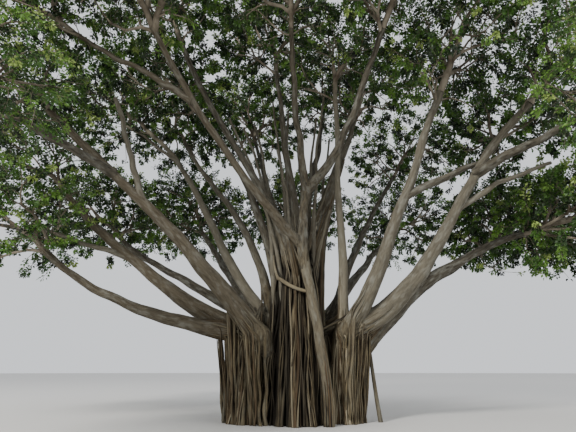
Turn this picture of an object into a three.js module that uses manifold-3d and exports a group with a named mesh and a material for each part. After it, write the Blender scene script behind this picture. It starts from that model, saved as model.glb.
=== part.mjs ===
// A banyan fig: one wide trunk of fused aerial roots, its boughs, its prop roots and the masses of its crown.
// Millimetres and degrees. +Z is up, +Y is away from the front, +X is to the right of a viewer at the front.
// The origin is on the flat cut at ground level, under the middle of the trunk.
// A heading turns from +X towards +Y, and a rise is the angle above the level.
import * as THREE from 'three';
import { mergeVertices } from 'three/addons/utils/BufferGeometryUtils.js';
import Module from 'manifold-3d';

const wasm = await Module();
wasm.setup();

// The finish of the pieces.
const rootBark = new THREE.MeshStandardMaterial({ color: 0x8a7760, roughness: 0.92, metalness: 0 });
const boughBark = new THREE.MeshStandardMaterial({ color: 0x77695a, roughness: 0.9, metalness: 0 });
const leafGreen = new THREE.MeshStandardMaterial({ color: 0x3d5a26, roughness: 0.6, metalness: 0 });

// Clear space between two pieces that meet.
const gap = 0.3;

// How finely the limbs are faceted, and how much of their girth they lose near the root.
const limbSides = 6;
const limbSteps = 7;
const propSides = 6;
const propSteps = 4;
const girthFall = 1.7;

// The trunk is clusters of fused roots. Each is a fluted column: half sizes at breast height, a height,
// how far its head leans, and how many flutes run up it.
const rootClusters = [
  { x: 40, y: -300, halfWidth: 1080, halfDepth: 1250, height: 6500, leanX: 60, leanY: 200, flutes: 13 },
  { x: -1640, y: -150, halfWidth: 560, halfDepth: 880, height: 3700, leanX: 60, leanY: 100, flutes: 9 },
  { x: 1690, y: -50, halfWidth: 560, halfDepth: 860, height: 3500, leanX: 160, leanY: 0, flutes: 9 },
  { x: -880, y: 1150, halfWidth: 800, halfDepth: 700, height: 4100, leanX: -60, leanY: 80, flutes: 9 },
  { x: 950, y: 1150, halfWidth: 850, halfDepth: 700, height: 4000, leanX: 80, leanY: 80, flutes: 9 },
];
// The same outline for every cluster, from the ground up: share of its height, and share of its half
// sizes.
const clusterOutline = [[0, 1.14], [0.1, 1.03], [0.35, 0.98], [0.65, 0.92], [0.86, 0.74], [1, 0.3]];
const fluteDepth = 0.13;

// Smooth stems fused to the clusters: the one in front, the one above its fork, the one behind them that
// carries a bough to the right, and the root that hooks across the front.
const trunkStems = [
  { from: [1060, -1420, 0], heading: [180, 180], rise: [91, 80, 84], length: 6100, girth: [245, 215] },
  { from: [290, -1420, 5900], heading: [20, 20], rise: [83, 87, 82], length: 2350, girth: [215, 190] },
  { from: [620, -150, 3000], heading: [40, 40], rise: [88, 82, 76], length: 3950, girth: [430, 360] },
  { from: [-560, -1080, 4700], heading: [330, 360], rise: [-40, -28, 0], length: 1350, girth: [95, 75] },
];

// Boughs as they show from the front, then those of the far side. Each leaves the trunk at a point, or
// another bough at a share of its length. Its heading changes evenly from root to tip, its rise is given
// at root, middle and tip, and girth is its radius at both ends. Spread and depth are the half width and
// half height of the mass of foliage that it carries.
const boughs = [
  { name: 'left_low', from: [-1850, -250, 2850], heading: [180, 189], rise: [8, 20, 42], length: 7900,
    girth: [330, 125], spread: 3400, depth: 2700 },
  { name: 'left_main', from: [-1750, 150, 2850], heading: [175, 178], rise: [25, 37, 46], length: 9700,
    girth: [420, 140], spread: 3500, depth: 2800 },
  { name: 'left_rear', from: [-1500, 900, 3300], heading: [164, 150], rise: [36, 27, 40], length: 8600,
    girth: [250, 120], spread: 3700, depth: 2900 },
  { name: 'left_front', from: [-1150, -950, 2650], heading: [192, 203], rise: [52, 43, 40], length: 10600,
    girth: [400, 130], spread: 3400, depth: 2700 },
  { name: 'left_skirt', on: 'left_front', at: 0.72, heading: [238, 262], rise: [8, 0, -8], length: 4400,
    girth: [170, 110], spread: 3300, depth: 2500 },
  { name: 'pale_left', from: [-800, 600, 3300], heading: [158, 173], rise: [44, 62, 38], length: 11200,
    girth: [270, 100], spread: 3400, depth: 2700 },
  { name: 'high_left', from: [-900, 400, 4000], heading: [163, 132], rise: [80, 52, 54], length: 10200,
    girth: [200, 95], spread: 3400, depth: 2700 },
  { name: 'mid_left', from: [-520, -200, 4300], heading: [178, 176], rise: [78, 66, 46], length: 8800,
    girth: [225, 95], spread: 3200, depth: 2600 },
  { name: 'front_left', from: [260, -1420, 5750], heading: [215, 230], rise: [37, 42, 50], length: 8400,
    girth: [190, 105], spread: 3300, depth: 2600 },
  { name: 'front_left_fork', on: 'front_left', at: 0.66, heading: [188, 200], rise: [34, 24, 28],
    length: 4200, girth: [120, 75], spread: 3200, depth: 2500 },
  { name: 'dark_left', from: [-150, -900, 5400], heading: [192, 222], rise: [76, 54, 66], length: 9400,
    girth: [185, 95], spread: 3100, depth: 2400 },
  { name: 'centre_up', from: [440, -1420, 8000], heading: [245, 268], rise: [66, 66, 44], length: 5600,
    girth: [175, 95], spread: 3400, depth: 2600 },
  { name: 'centre_right', from: [560, -1420, 7900], heading: [322, 292], rise: [30, 54, 42], length: 6000,
    girth: [185, 100], spread: 3400, depth: 2600 },
  { name: 'rear_up', from: [350, 350, 5600], heading: [50, 78], rise: [84, 68, 58], length: 9400,
    girth: [210, 90], spread: 3400, depth: 2700 },
  { name: 'fluted_right', from: [1010, 60, 6750], heading: [30, 42], rise: [73, 67, 66], length: 6400,
    girth: [340, 110], spread: 3300, depth: 2700 },
  { name: 'pale_up', from: [1790, -300, 2900], heading: [268, 262], rise: [87, 86, 80], length: 9400,
    girth: [225, 100], spread: 3100, depth: 2600 },
  { name: 'right_up', from: [1800, -550, 2850], heading: [328, 312], rise: [50, 65, 58], length: 9000,
    girth: [340, 130], spread: 3300, depth: 2700 },
  { name: 'right_up_fork', on: 'right_up', at: 0.5, heading: [-15, 42], rise: [26, 28, 50], length: 5000,
    girth: [150, 85], spread: 3300, depth: 2700 },
  { name: 'right_main', from: [1900, -450, 2850], heading: [352, 318], rise: [20, 57, 32], length: 10300,
    girth: [430, 130], spread: 3400, depth: 2700 },
  { name: 'right_skirt', on: 'right_main', at: 0.72, heading: [302, 282], rise: [8, 0, -8], length: 4600,
    girth: [180, 110], spread: 3300, depth: 2600 },
  { name: 'right_low', from: [1950, 150, 1950], heading: [7, -5], rise: [45, 35, 12], length: 9000,
    girth: [430, 125], spread: 3500, depth: 2800 },
  { name: 'right_rear', from: [1500, 750, 3300], heading: [41, 44], rise: [70, 55, 50], length: 9200,
    girth: [220, 95], spread: 3600, depth: 2800 },
  { name: 'back_left', from: [-1150, 1300, 3100], heading: [128, 118], rise: [44, 39, 36], length: 9400,
    girth: [330, 120], spread: 3900, depth: 3100 },
  { name: 'back_mid', from: [-100, 1100, 3700], heading: [95, 84], rise: [56, 38, 34], length: 9800,
    girth: [300, 115], spread: 3900, depth: 3100 },
  { name: 'back_right', from: [1150, 1300, 3100], heading: [58, 50], rise: [42, 36, 32], length: 9400,
    girth: [330, 120], spread: 3900, depth: 3100 },
  { name: 'right_back_low', from: [1950, 600, 2500], heading: [24, 22], rise: [34, 30, 32], length: 9200,
    girth: [300, 115], spread: 3700, depth: 2900 },
  { name: 'back_top', from: [-250, 500, 5400], heading: [125, 102], rise: [76, 58, 52], length: 9400,
    girth: [215, 90], spread: 3600, depth: 2800 },
  { name: 'apex', from: [150, -350, 5600], heading: [230, 150], rise: [85, 83, 84], length: 8200,
    girth: [235, 95], spread: 3500, depth: 2600 },
];

// Roots that hang from a bough down to the ground: where each stands, how it leans, and its radius.
const propRoots = [
  { name: 'prop_root_left', from: [-2330, -350, 0], heading: [0, 0], rise: [88, 90, 89], length: 3300,
    girth: [48, 36] },
  { name: 'prop_root_right', from: [2880, -150, 0], heading: [180, 180], rise: [82, 85, 84], length: 2900,
    girth: [78, 60] },
];

// A mass of foliage. Its middle lies past the bough's tip by a share of its spread. Foliage keeps clear of
// the planes between the masses, and of the wood, which is looked at in points this far apart.
const massLead = 0.62;
const spaceMargin = 40;
const woodMargin = 110;
const woodSpacing = 200;

// The twigs of a mass: how many aims are scattered, by steps that cover the space evenly and no lower than
// a share of its depth; how far out they lie; and where on the skeleton a twig may start. A long run back
// to the bough counts against a place, and a twig starts thinner than the wood it leaves.
const twigRule = {
  aims: 5,
  aimSteps: [0.7548776662, 0.5698402910],
  lowestAim: -0.7,
  reaches: [0.7, 0.55, 0.4],
  leaderForks: [0.5, 0.9],
  twigForks: [0.45, 0.8],
  runCost: 0.35,
  leaderTaper: 0.6,
  checks: 10,
  girth: 34,
  taper: 0.46,
  sides: 3,
};

// The blades of a mass. Each stands for a whole spray of leaves, so it is far larger than a leaf.
const bladeRule = {
  most: 12,
  roundsPerTwig: 9,
  outerPart: [0.03, 0.63],
  lengths: [2850, 2350, 1850],
  width: 0.58,
  thickness: 0.035,
  turn: 137.5,
  turnPerTwig: 51,
  turnSpread: 34,
  lean: [8, 38],
  roll: 24,
};

const up = new THREE.Vector3(0, 0, 1);
const nearUp = new THREE.Vector3(0.28, 0.1, 0.95);
const radians = THREE.MathUtils.degToRad;

// A seeded draw of even numbers from 0 to 1, the same on every run.
function seededDraw(seed) {
  let state = seed >>> 0;
  return () => {
    state = (state + 0x6d2b79f5) >>> 0;
    let mixed = Math.imul(state ^ (state >>> 15), state | 1);
    mixed ^= mixed + Math.imul(mixed ^ (mixed >>> 7), mixed | 61);
    return ((mixed ^ (mixed >>> 14)) >>> 0) / 4294967296;
  };
}

// The smooth value through three, given at the start, the middle and the end.
function throughThree([start, middle, end], share) {
  const left = 1 - share;
  return start * left * (left - share) + middle * 4 * share * left + end * share * (share - left);
}

function direction(heading, rise) {
  const level = Math.cos(radians(rise));
  const turn = radians(heading);
  return new THREE.Vector3(Math.cos(turn) * level, Math.sin(turn) * level, Math.sin(radians(rise)));
}

// The middle line of a limb, walked in even steps whose heading and rise change along it.
function limbLine(limb, start, steps) {
  const line = [start.clone()];
  for (let i = 0; i < steps; i += 1) {
    const share = (i + 0.5) / steps;
    const heading = THREE.MathUtils.lerp(limb.heading[0], limb.heading[1], share);
    const step = direction(heading, throughThree(limb.rise, share)).multiplyScalar(limb.length / steps);
    line.push(line[i].clone().add(step));
  }
  return line;
}

// A geometry as a solid.
function solidOf(geometry) {
  const bare = geometry.clone();
  bare.deleteAttribute('normal');
  bare.deleteAttribute('uv');
  const merged = mergeVertices(bare, 1e-3);
  return new wasm.Manifold(new wasm.Mesh({
    numProp: 3,
    vertProperties: merged.attributes.position.array,
    triVerts: new Uint32Array(merged.index.array),
  }));
}

function meshOf(name, solid, material) {
  const { numProp, vertProperties, triVerts } = solid.getMesh();
  const position = new Float32Array((vertProperties.length / numProp) * 3);
  for (let i = 0; i < position.length / 3; i += 1) {
    position.set(vertProperties.subarray(i * numProp, i * numProp + 3), i * 3);
  }
  const geometry = new THREE.BufferGeometry();
  geometry.setAttribute('position', new THREE.BufferAttribute(position, 3));
  geometry.setIndex(new THREE.BufferAttribute(new Uint32Array(triVerts), 1));
  geometry.computeVertexNormals();
  const mesh = new THREE.Mesh(geometry, material);
  mesh.name = name;
  return mesh;
}

// The largest body of a solid, which drops the scraps that a cut leaves.
function largestBody(solid) {
  return solid.decompose().reduce((best, body) => (body.volume() > best.volume() ? body : best));
}

// The radius of a limb at a share of its length. It narrows fast near the root, where most of its forks
// leave.
function girthAt([root, tip], share) {
  return tip + (root - tip) * (1 - share) ** girthFall;
}

// A tapered round limb along a line: a cylinder whose rings are moved to the line's points. A level foot
// keeps its first ring flat on the ground.
function limbSolid(line, girth, sides, grown = 0, levelFoot = false) {
  const steps = line.length - 1;
  const tube = new THREE.CylinderGeometry(1, 1, 1, sides, steps);
  const position = tube.attributes.position;
  const aims = line.map((point, i) => {
    const ahead = line[Math.min(i + 1, steps)].clone();
    return ahead.sub(line[Math.max(i - 1, 0)]).normalize();
  });
  if (levelFoot) aims[0].copy(up);
  const across = [new THREE.Vector3().crossVectors(aims[0], new THREE.Vector3(0.31, 0.95, 0)).normalize()];
  for (let i = 1; i <= steps; i += 1) {
    const carried = across[i - 1].clone();
    across.push(carried.addScaledVector(aims[i], -carried.dot(aims[i])).normalize());
  }
  for (let v = 0; v < position.count; v += 1) {
    const ring = Math.round((position.getY(v) + 0.5) * steps);
    const radius = girthAt(girth, ring / steps) + grown;
    const beside = new THREE.Vector3().crossVectors(aims[ring], across[ring]);
    const past = grown * (Number(ring === steps) - Number(ring === 0));
    const place = line[ring].clone()
      .addScaledVector(aims[ring], past)
      .addScaledVector(beside, position.getX(v) * radius)
      .addScaledVector(across[ring], position.getZ(v) * radius);
    position.setXYZ(v, place.x, place.y, place.z);
  }
  return solidOf(tube);
}

// One fluted column of fused roots, standing flat on the ground.
function clusterSolid(cluster, grown = 0) {
  const rings = clusterOutline.length - 1;
  const column = new THREE.CylinderGeometry(1, 1, 1, cluster.flutes * 2, rings);
  const position = column.attributes.position;
  for (let v = 0; v < position.count; v += 1) {
    const [share, size] = clusterOutline[Math.round((position.getY(v) + 0.5) * rings)];
    const turn = Math.atan2(position.getX(v), position.getZ(v));
    const reach = Math.hypot(position.getX(v), position.getZ(v));
    const inGroove = Math.round((turn / Math.PI) * cluster.flutes) % 2 !== 0;
    const swell = reach * size * (inGroove ? 1 - fluteDepth : 1);
    position.setXYZ(
      v,
      cluster.x + cluster.leanX * share + Math.sin(turn) * (cluster.halfWidth * swell + grown * reach),
      cluster.y + cluster.leanY * share - Math.cos(turn) * (cluster.halfDepth * swell + grown * reach),
      cluster.height * share + (share === 1 ? grown : 0),
    );
  }
  return solidOf(column);
}

function trunkSolid(grown = 0) {
  const columns = rootClusters.map((cluster) => clusterSolid(cluster, grown));
  const stems = trunkStems.map((stem) => {
    const foot = new THREE.Vector3(...stem.from);
    return limbSolid(limbLine(stem, foot, limbSteps), stem.girth, limbSides, grown, foot.z === 0);
  });
  return wasm.Manifold.union([...columns, ...stems]);
}

// Every bough gets its line, its tip, the way that the tip points, and the middle of its mass.
function layOut(list) {
  const byName = new Map();
  list.forEach((bough, index) => {
    const parent = byName.get(bough.on);
    const start = parent
      ? parent.line[Math.round(bough.at * limbSteps)].clone()
      : new THREE.Vector3(...bough.from);
    const line = limbLine(bough, start, limbSteps);
    const tip = line[limbSteps];
    const aim = tip.clone().sub(line[limbSteps - 1]).normalize();
    const middle = tip.clone().addScaledVector(aim, massLead * bough.spread);
    byName.set(bough.name, { ...bough, line, tip, aim, middle, seed: index + 1 });
  });
  return [...byName.values()];
}

// Points along every limb with its radius there, for keeping foliage off the wood.
function woodPoints(limbs) {
  return limbs.flatMap(({ line, girth }) => line.slice(1).flatMap((end, i) => {
    const start = line[i];
    const count = Math.ceil(start.distanceTo(end) / woodSpacing);
    return Array.from({ length: count }, (_, k) => ({
      at: start.clone().lerp(end, (k + 1) / count),
      radius: girthAt(girth, (i + (k + 1) / count) / (line.length - 1)),
    }));
  }));
}

// The space that a mass keeps to: an ellipsoid round its middle, cut by the plane half way to each other
// mass.
function insideSpace(point, bough, others) {
  const away = point.clone().sub(bough.middle);
  if (Math.hypot(away.x / bough.spread, away.y / bough.spread, away.z / bough.depth) > 1) return false;
  return others.every((other) => {
    const between = other.middle.clone().sub(bough.middle);
    const apart = between.length();
    return away.dot(between) / apart < apart / 2 - spaceMargin;
  });
}

// Which way is out of a mass at a point in it.
function outwardAt(point, bough) {
  const away = point.clone().sub(bough.middle);
  const [wide, high] = [bough.spread ** 2, bough.depth ** 2];
  return new THREE.Vector3(away.x / wide, away.y / wide, away.z / high).normalize();
}

function clearOfWood(points, wood) {
  return wood.every(({ at, radius }) => points.every((point) => point.distanceTo(at) > radius + woodMargin));
}

function pointsBetween(start, end, count) {
  return Array.from({ length: count }, (_, i) => start.clone().lerp(end, (i + 1) / count));
}

// Twigs by a seeded rule. A leader runs from the bough's tip to the middle of the space. Aims are then
// scattered evenly through the space, and each is reached from the place on the skeleton that costs the
// least.
function growTwigs(bough, others, wood, draw) {
  const [heightStart, turnStart] = [draw(), draw()];
  const root = bough.tip.clone().addScaledVector(bough.aim, gap);
  const twigs = [];
  const places = [];
  const addTwig = (from, to, girth, run, forks) => {
    twigs.push({ from, to, girth });
    forks.forEach((share) => places.push({
      at: from.clone().lerp(to, share),
      girth: THREE.MathUtils.lerp(...girth, share),
      run: run + from.distanceTo(to) * share,
    }));
  };
  const leaderGirth = [bough.girth[1], bough.girth[1] * twigRule.leaderTaper];
  addTwig(root, bough.middle.clone(), leaderGirth, 0, twigRule.leaderForks);
  for (let k = 0; k < twigRule.aims; k += 1) {
    const drop = (heightStart + k * twigRule.aimSteps[0]) % 1;
    const height = THREE.MathUtils.lerp(1, twigRule.lowestAim, drop);
    const turn = 2 * Math.PI * ((turnStart + k * twigRule.aimSteps[1]) % 1);
    const level = Math.sqrt(1 - height * height);
    const offset = new THREE.Vector3(Math.cos(turn) * level, Math.sin(turn) * level, height)
      .multiply(new THREE.Vector3(bough.spread, bough.spread, bough.depth));
    const end = twigRule.reaches
      .map((share) => bough.middle.clone().addScaledVector(offset, share))
      .find((point) => insideSpace(point, bough, others));
    if (!end) continue;
    const costs = places.map(({ at, run }) => at.distanceTo(end) + twigRule.runCost * run);
    const place = places[costs.indexOf(Math.min(...costs))];
    if (!clearOfWood(pointsBetween(place.at, end, twigRule.checks), wood)) continue;
    const foot = Math.max(twigRule.girth, place.girth * twigRule.taper);
    addTwig(place.at, end, [foot, twigRule.girth], place.run, twigRule.twigForks);
  }
  return twigs;
}

function placeBlade(root, aim, across, length) {
  const facing = new THREE.Vector3().crossVectors(aim, across).normalize();
  const middle = root.clone().addScaledVector(aim, length / 2);
  const reach = new THREE.Vector3(1, bladeRule.width, bladeRule.thickness).multiplyScalar(length / 2);
  return new THREE.Matrix4().makeBasis(aim, across, facing).setPosition(middle).scale(reach);
}

// Points all over a blade, from its tip to its root.
function bladePoints(placed) {
  return [[1, 0], [0.5, 0.5], [0.5, 0], [0.5, -0.5], [0, 1], [0, 0.5], [0, 0], [0, -0.5], [0, -1], [-0.5, 0.5],
    [-0.5, 0], [-0.5, -0.5], [-0.8, 0]].map(([x, y]) => new THREE.Vector3(x, y, 0).applyMatrix4(placed));
}

// The blades of a mass, dealt to its twigs in turn. Each has its root on the middle line of the outer part
// of a twig and leans out from it, turned on from the last by the golden angle. One that would leave the
// space, or touch wood or another blade, is tried smaller and then left out.
function growBlades(bough, twigs, others, wood, draw) {
  const blades = [];
  const between = (low, high) => radians(THREE.MathUtils.lerp(low, high, draw()));
  for (let k = 0; k < bladeRule.roundsPerTwig; k += 1) {
    twigs.slice(1).forEach(({ from, to }, i) => {
      if (blades.length >= bladeRule.most) return;
      const back = THREE.MathUtils.lerp(...bladeRule.outerPart, k / bladeRule.roundsPerTwig);
      const root = to.clone().lerp(from, back);
      const outward = outwardAt(root, bough);
      const turn = radians(bladeRule.turn * k + bladeRule.turnPerTwig * i) + between(0, bladeRule.turnSpread);
      const lean = between(...bladeRule.lean);
      const aim = new THREE.Vector3().crossVectors(outward, nearUp).normalize().applyAxisAngle(outward, turn)
        .multiplyScalar(Math.cos(lean)).addScaledVector(outward, Math.sin(lean));
      const across = new THREE.Vector3().crossVectors(outward, aim).normalize()
        .applyAxisAngle(aim, between(-bladeRule.roll, bladeRule.roll));
      bladeRule.lengths.some((length) => {
        const placed = placeBlade(root, aim, across, length);
        const points = bladePoints(placed);
        if (!points.every((point) => insideSpace(point, bough, others))) return false;
        if (!clearOfWood(points, wood)) return false;
        const blade = solidOf(new THREE.OctahedronGeometry(1, 0).applyMatrix4(placed));
        if (blades.some((other) => !blade.intersect(other).isEmpty())) return false;
        blades.push(blade);
        return true;
      });
    });
  }
  return blades;
}

function massSolid(bough, others, wood) {
  const draw = seededDraw(bough.seed);
  const twigs = growTwigs(bough, others, wood, draw);
  const blades = growBlades(bough, twigs, others, wood, draw);
  const stems = twigs.map(({ from, to, girth }) => limbSolid([from, to], girth, twigRule.sides));
  return largestBody(wasm.Manifold.union([...stems, ...blades]));
}

// Every limb is cut clear of the trunk and of the limbs built before it.
function buildTree() {
  const tree = new THREE.Group();
  tree.add(meshOf('trunk', trunkSolid(), rootBark));
  const laidOut = layOut(boughs);
  const props = propRoots.map((prop) => ({
    ...prop,
    line: limbLine(prop, new THREE.Vector3(...prop.from), propSteps),
  }));
  const built = [trunkSolid(gap)];
  laidOut.forEach((bough) => {
    const whole = limbSolid(bough.line, bough.girth, limbSides);
    const cut = built.reduce((left, other) => left.subtract(other), whole);
    tree.add(meshOf(`bough_${bough.name}`, largestBody(cut), boughBark));
    built.push(limbSolid(bough.line, bough.girth, limbSides, gap));
  });
  props.forEach((prop) => {
    const whole = limbSolid(prop.line, prop.girth, propSides, 0, true);
    const cut = built.reduce((left, other) => left.subtract(other), whole);
    tree.add(meshOf(prop.name, largestBody(cut), rootBark));
  });
  const wood = woodPoints([...laidOut, ...props]);
  laidOut.forEach((bough) => {
    const others = laidOut.filter((other) => other !== bough);
    tree.add(meshOf(`foliage_${bough.name}`, massSolid(bough, others, wood), leafGreen));
  });
  return tree;
}

export default buildTree();
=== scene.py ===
import math
import bmesh
import bpy
import numpy as np
from mathutils import Euler, Matrix, Vector, kdtree, noise


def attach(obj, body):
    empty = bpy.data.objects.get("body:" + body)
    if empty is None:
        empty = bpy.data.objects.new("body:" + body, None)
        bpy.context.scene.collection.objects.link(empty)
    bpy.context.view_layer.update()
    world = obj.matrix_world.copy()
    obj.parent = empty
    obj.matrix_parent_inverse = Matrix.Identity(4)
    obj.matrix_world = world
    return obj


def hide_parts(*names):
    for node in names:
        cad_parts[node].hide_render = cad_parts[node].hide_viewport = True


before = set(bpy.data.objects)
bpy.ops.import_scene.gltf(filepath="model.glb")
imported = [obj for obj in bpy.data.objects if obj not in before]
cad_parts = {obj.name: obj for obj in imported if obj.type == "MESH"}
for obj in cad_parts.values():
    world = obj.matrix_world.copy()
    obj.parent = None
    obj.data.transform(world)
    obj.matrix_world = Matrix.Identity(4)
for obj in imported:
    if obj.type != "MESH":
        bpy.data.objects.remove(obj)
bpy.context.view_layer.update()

scene = bpy.context.scene
up = np.array([0.0, 0.0, 1.0])
belowGround = 0.12       # limbs and roots start this far down and are cut at the ground
goldenAngle = math.radians(137.5)

# The eye stands on level ground in front of the tree and looks up a little.
viewpoint = {"eye": (-0.2, -16.0, 1.6), "pitch": 19.7, "focalPixels": 433, "imageWidth": 576,
             "sensor": 36.0}

# Boughs in metres and degrees. Each leaves the trunk at a point, or another bough at a share of its
# length. Heading turns from +X to +Y, rise is the angle above the level at root, middle and tip, and girth
# is the radius at both ends. Spread and depth are the half width and half height of its mass of foliage,
# and fill is how full that is.
boughs = {
    "left_low": {"start": (-1.85, -0.25, 2.85), "heading": (180, 189), "rise": (8, 20, 42), "length": 7.9,
                 "girth": (0.33, 0.125), "spread": 3.4, "depth": 2.7, "fill": 0.75},
    "left_main": {"start": (-1.75, 0.15, 2.85), "heading": (175, 178), "rise": (25, 37, 46), "length": 9.7,
                  "girth": (0.42, 0.14), "spread": 3.5, "depth": 2.8, "fill": 0.6},
    "left_rear": {"start": (-1.5, 0.9, 3.3), "heading": (164, 150), "rise": (36, 27, 40), "length": 8.6,
                  "girth": (0.25, 0.12), "spread": 3.7, "depth": 2.9, "fill": 1.1},
    "left_front": {"start": (-1.15, -0.95, 2.65), "heading": (192, 203), "rise": (52, 43, 40), "length": 10.6,
                   "girth": (0.4, 0.13), "spread": 3.4, "depth": 2.7, "fill": 0.85},
    "left_skirt": {"on": "left_front", "at": 0.72, "heading": (238, 262), "rise": (8, 0, -8), "length": 4.4,
                   "girth": (0.17, 0.11), "spread": 3.3, "depth": 2.5, "fill": 0.8},
    "pale_left": {"start": (-0.8, 0.6, 3.3), "heading": (158, 173), "rise": (44, 62, 38), "length": 11.2,
                  "girth": (0.27, 0.1), "spread": 3.4, "depth": 2.7, "fill": 1.2},
    "high_left": {"start": (-0.9, 0.4, 4.0), "heading": (163, 132), "rise": (80, 52, 54), "length": 10.2,
                  "girth": (0.20, 0.095), "spread": 3.4, "depth": 2.7, "fill": 1.3},
    "mid_left": {"start": (-0.52, -0.2, 4.3), "heading": (178, 176), "rise": (78, 66, 46), "length": 8.8,
                 "girth": (0.225, 0.095), "spread": 3.2, "depth": 2.6, "fill": 1.4},
    "front_left": {"start": (0.26, -1.42, 5.75), "heading": (215, 230), "rise": (37, 42, 50), "length": 8.4,
                   "girth": (0.19, 0.105), "spread": 3.3, "depth": 2.6, "fill": 1.3},
    "front_left_fork": {"on": "front_left", "at": 0.66, "heading": (188, 200), "rise": (34, 24, 28),
                        "length": 4.2, "girth": (0.12, 0.075), "spread": 3.2, "depth": 2.5, "fill": 1.4},
    "dark_left": {"start": (-0.15, -0.9, 5.4), "heading": (192, 222), "rise": (76, 54, 66), "length": 9.4,
                  "girth": (0.185, 0.095), "spread": 3.1, "depth": 2.4, "fill": 1.25},
    "centre_up": {"start": (0.44, -1.42, 8.0), "heading": (245, 268), "rise": (66, 66, 44), "length": 5.6,
                  "girth": (0.175, 0.095), "spread": 3.4, "depth": 2.6, "fill": 1.1},
    "centre_right": {"start": (0.56, -1.42, 7.9), "heading": (322, 292), "rise": (30, 54, 42), "length": 6.0,
                     "girth": (0.185, 0.1), "spread": 3.4, "depth": 2.6, "fill": 1.35},
    "rear_up": {"start": (0.35, 0.35, 5.6), "heading": (50, 78), "rise": (84, 68, 58), "length": 9.4,
                "girth": (0.21, 0.09), "spread": 3.4, "depth": 2.7, "fill": 0.75},
    "fluted_right": {"start": (1.01, 0.06, 6.75), "heading": (30, 42), "rise": (73, 67, 66), "length": 6.4,
                     "girth": (0.34, 0.11), "spread": 3.3, "depth": 2.7, "fill": 0.9},
    "pale_up": {"start": (1.79, -0.3, 2.9), "heading": (268, 262), "rise": (87, 86, 80), "length": 9.4,
                "girth": (0.225, 0.1), "spread": 3.1, "depth": 2.6, "fill": 0.85},
    "right_up": {"start": (1.8, -0.55, 2.85), "heading": (328, 312), "rise": (50, 65, 58), "length": 9.0,
                 "girth": (0.34, 0.13), "spread": 3.3, "depth": 2.7, "fill": 1.3},
    "right_up_fork": {"on": "right_up", "at": 0.5, "heading": (-15, 42), "rise": (26, 28, 50), "length": 5.0,
                      "girth": (0.15, 0.085), "spread": 3.3, "depth": 2.7, "fill": 1.1},
    "right_main": {"start": (1.9, -0.45, 2.85), "heading": (352, 318), "rise": (20, 57, 32), "length": 10.3,
                   "girth": (0.43, 0.13), "spread": 3.4, "depth": 2.7, "fill": 1.0},
    "right_skirt": {"on": "right_main", "at": 0.72, "heading": (302, 282), "rise": (8, 0, -8), "length": 4.6,
                    "girth": (0.18, 0.11), "spread": 3.3, "depth": 2.6, "fill": 0.85},
    "right_low": {"start": (1.95, 0.15, 1.95), "heading": (7, -5), "rise": (45, 35, 12), "length": 9.0,
                  "girth": (0.43, 0.125), "spread": 3.5, "depth": 2.8, "fill": 1.6},
    "right_rear": {"start": (1.5, 0.75, 3.3), "heading": (41, 44), "rise": (70, 55, 50), "length": 9.2,
                   "girth": (0.22, 0.095), "spread": 3.6, "depth": 2.8, "fill": 0.8},
    "back_left": {"start": (-1.15, 1.3, 3.1), "heading": (128, 118), "rise": (44, 39, 36), "length": 9.4,
                  "girth": (0.33, 0.12), "spread": 3.9, "depth": 3.1, "fill": 1.4},
    "back_mid": {"start": (-0.1, 1.1, 3.7), "heading": (95, 84), "rise": (56, 38, 34), "length": 9.8,
                 "girth": (0.30, 0.115), "spread": 3.9, "depth": 3.1, "fill": 1.0},
    "back_right": {"start": (1.15, 1.3, 3.1), "heading": (58, 50), "rise": (42, 36, 32), "length": 9.4,
                   "girth": (0.33, 0.12), "spread": 3.9, "depth": 3.1, "fill": 0.8},
    "right_back_low": {"start": (1.95, 0.6, 2.5), "heading": (24, 22), "rise": (34, 30, 32), "length": 9.2,
                       "girth": (0.30, 0.115), "spread": 3.7, "depth": 2.9, "fill": 1.8},
    "back_top": {"start": (-0.25, 0.5, 5.4), "heading": (125, 102), "rise": (76, 58, 52), "length": 9.4,
                 "girth": (0.215, 0.09), "spread": 3.6, "depth": 2.8, "fill": 1.4},
    "apex": {"start": (0.15, -0.35, 5.6), "heading": (230, 150), "rise": (85, 83, 84), "length": 8.2,
             "girth": (0.235, 0.095), "spread": 3.5, "depth": 2.6, "fill": 1.7},
}
limbSteps = 7
massLead = 0.62
girthFall = 1.7          # a limb narrows fast near its root
# Leaves are finer on the masses that stand near the front.
leafRule = {"perTwig": 29, "perMetre": 0.0068, "length": (0.088, 0.145), "lengths": (0.72, 1.22),
            "width": 0.6, "widest": 0.45, "tipDrop": 0.1, "stalk": 0.1, "fold": 0.2, "droop": 0.3,
            "lean": (35, 75), "bare": 0.26, "span": 1.05, "spanShare": 0.95, "crowding": 0.9,
            "turn": 0.4, "flat": 0.55, "level": 0.45, "tilt": 0.6}

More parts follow.
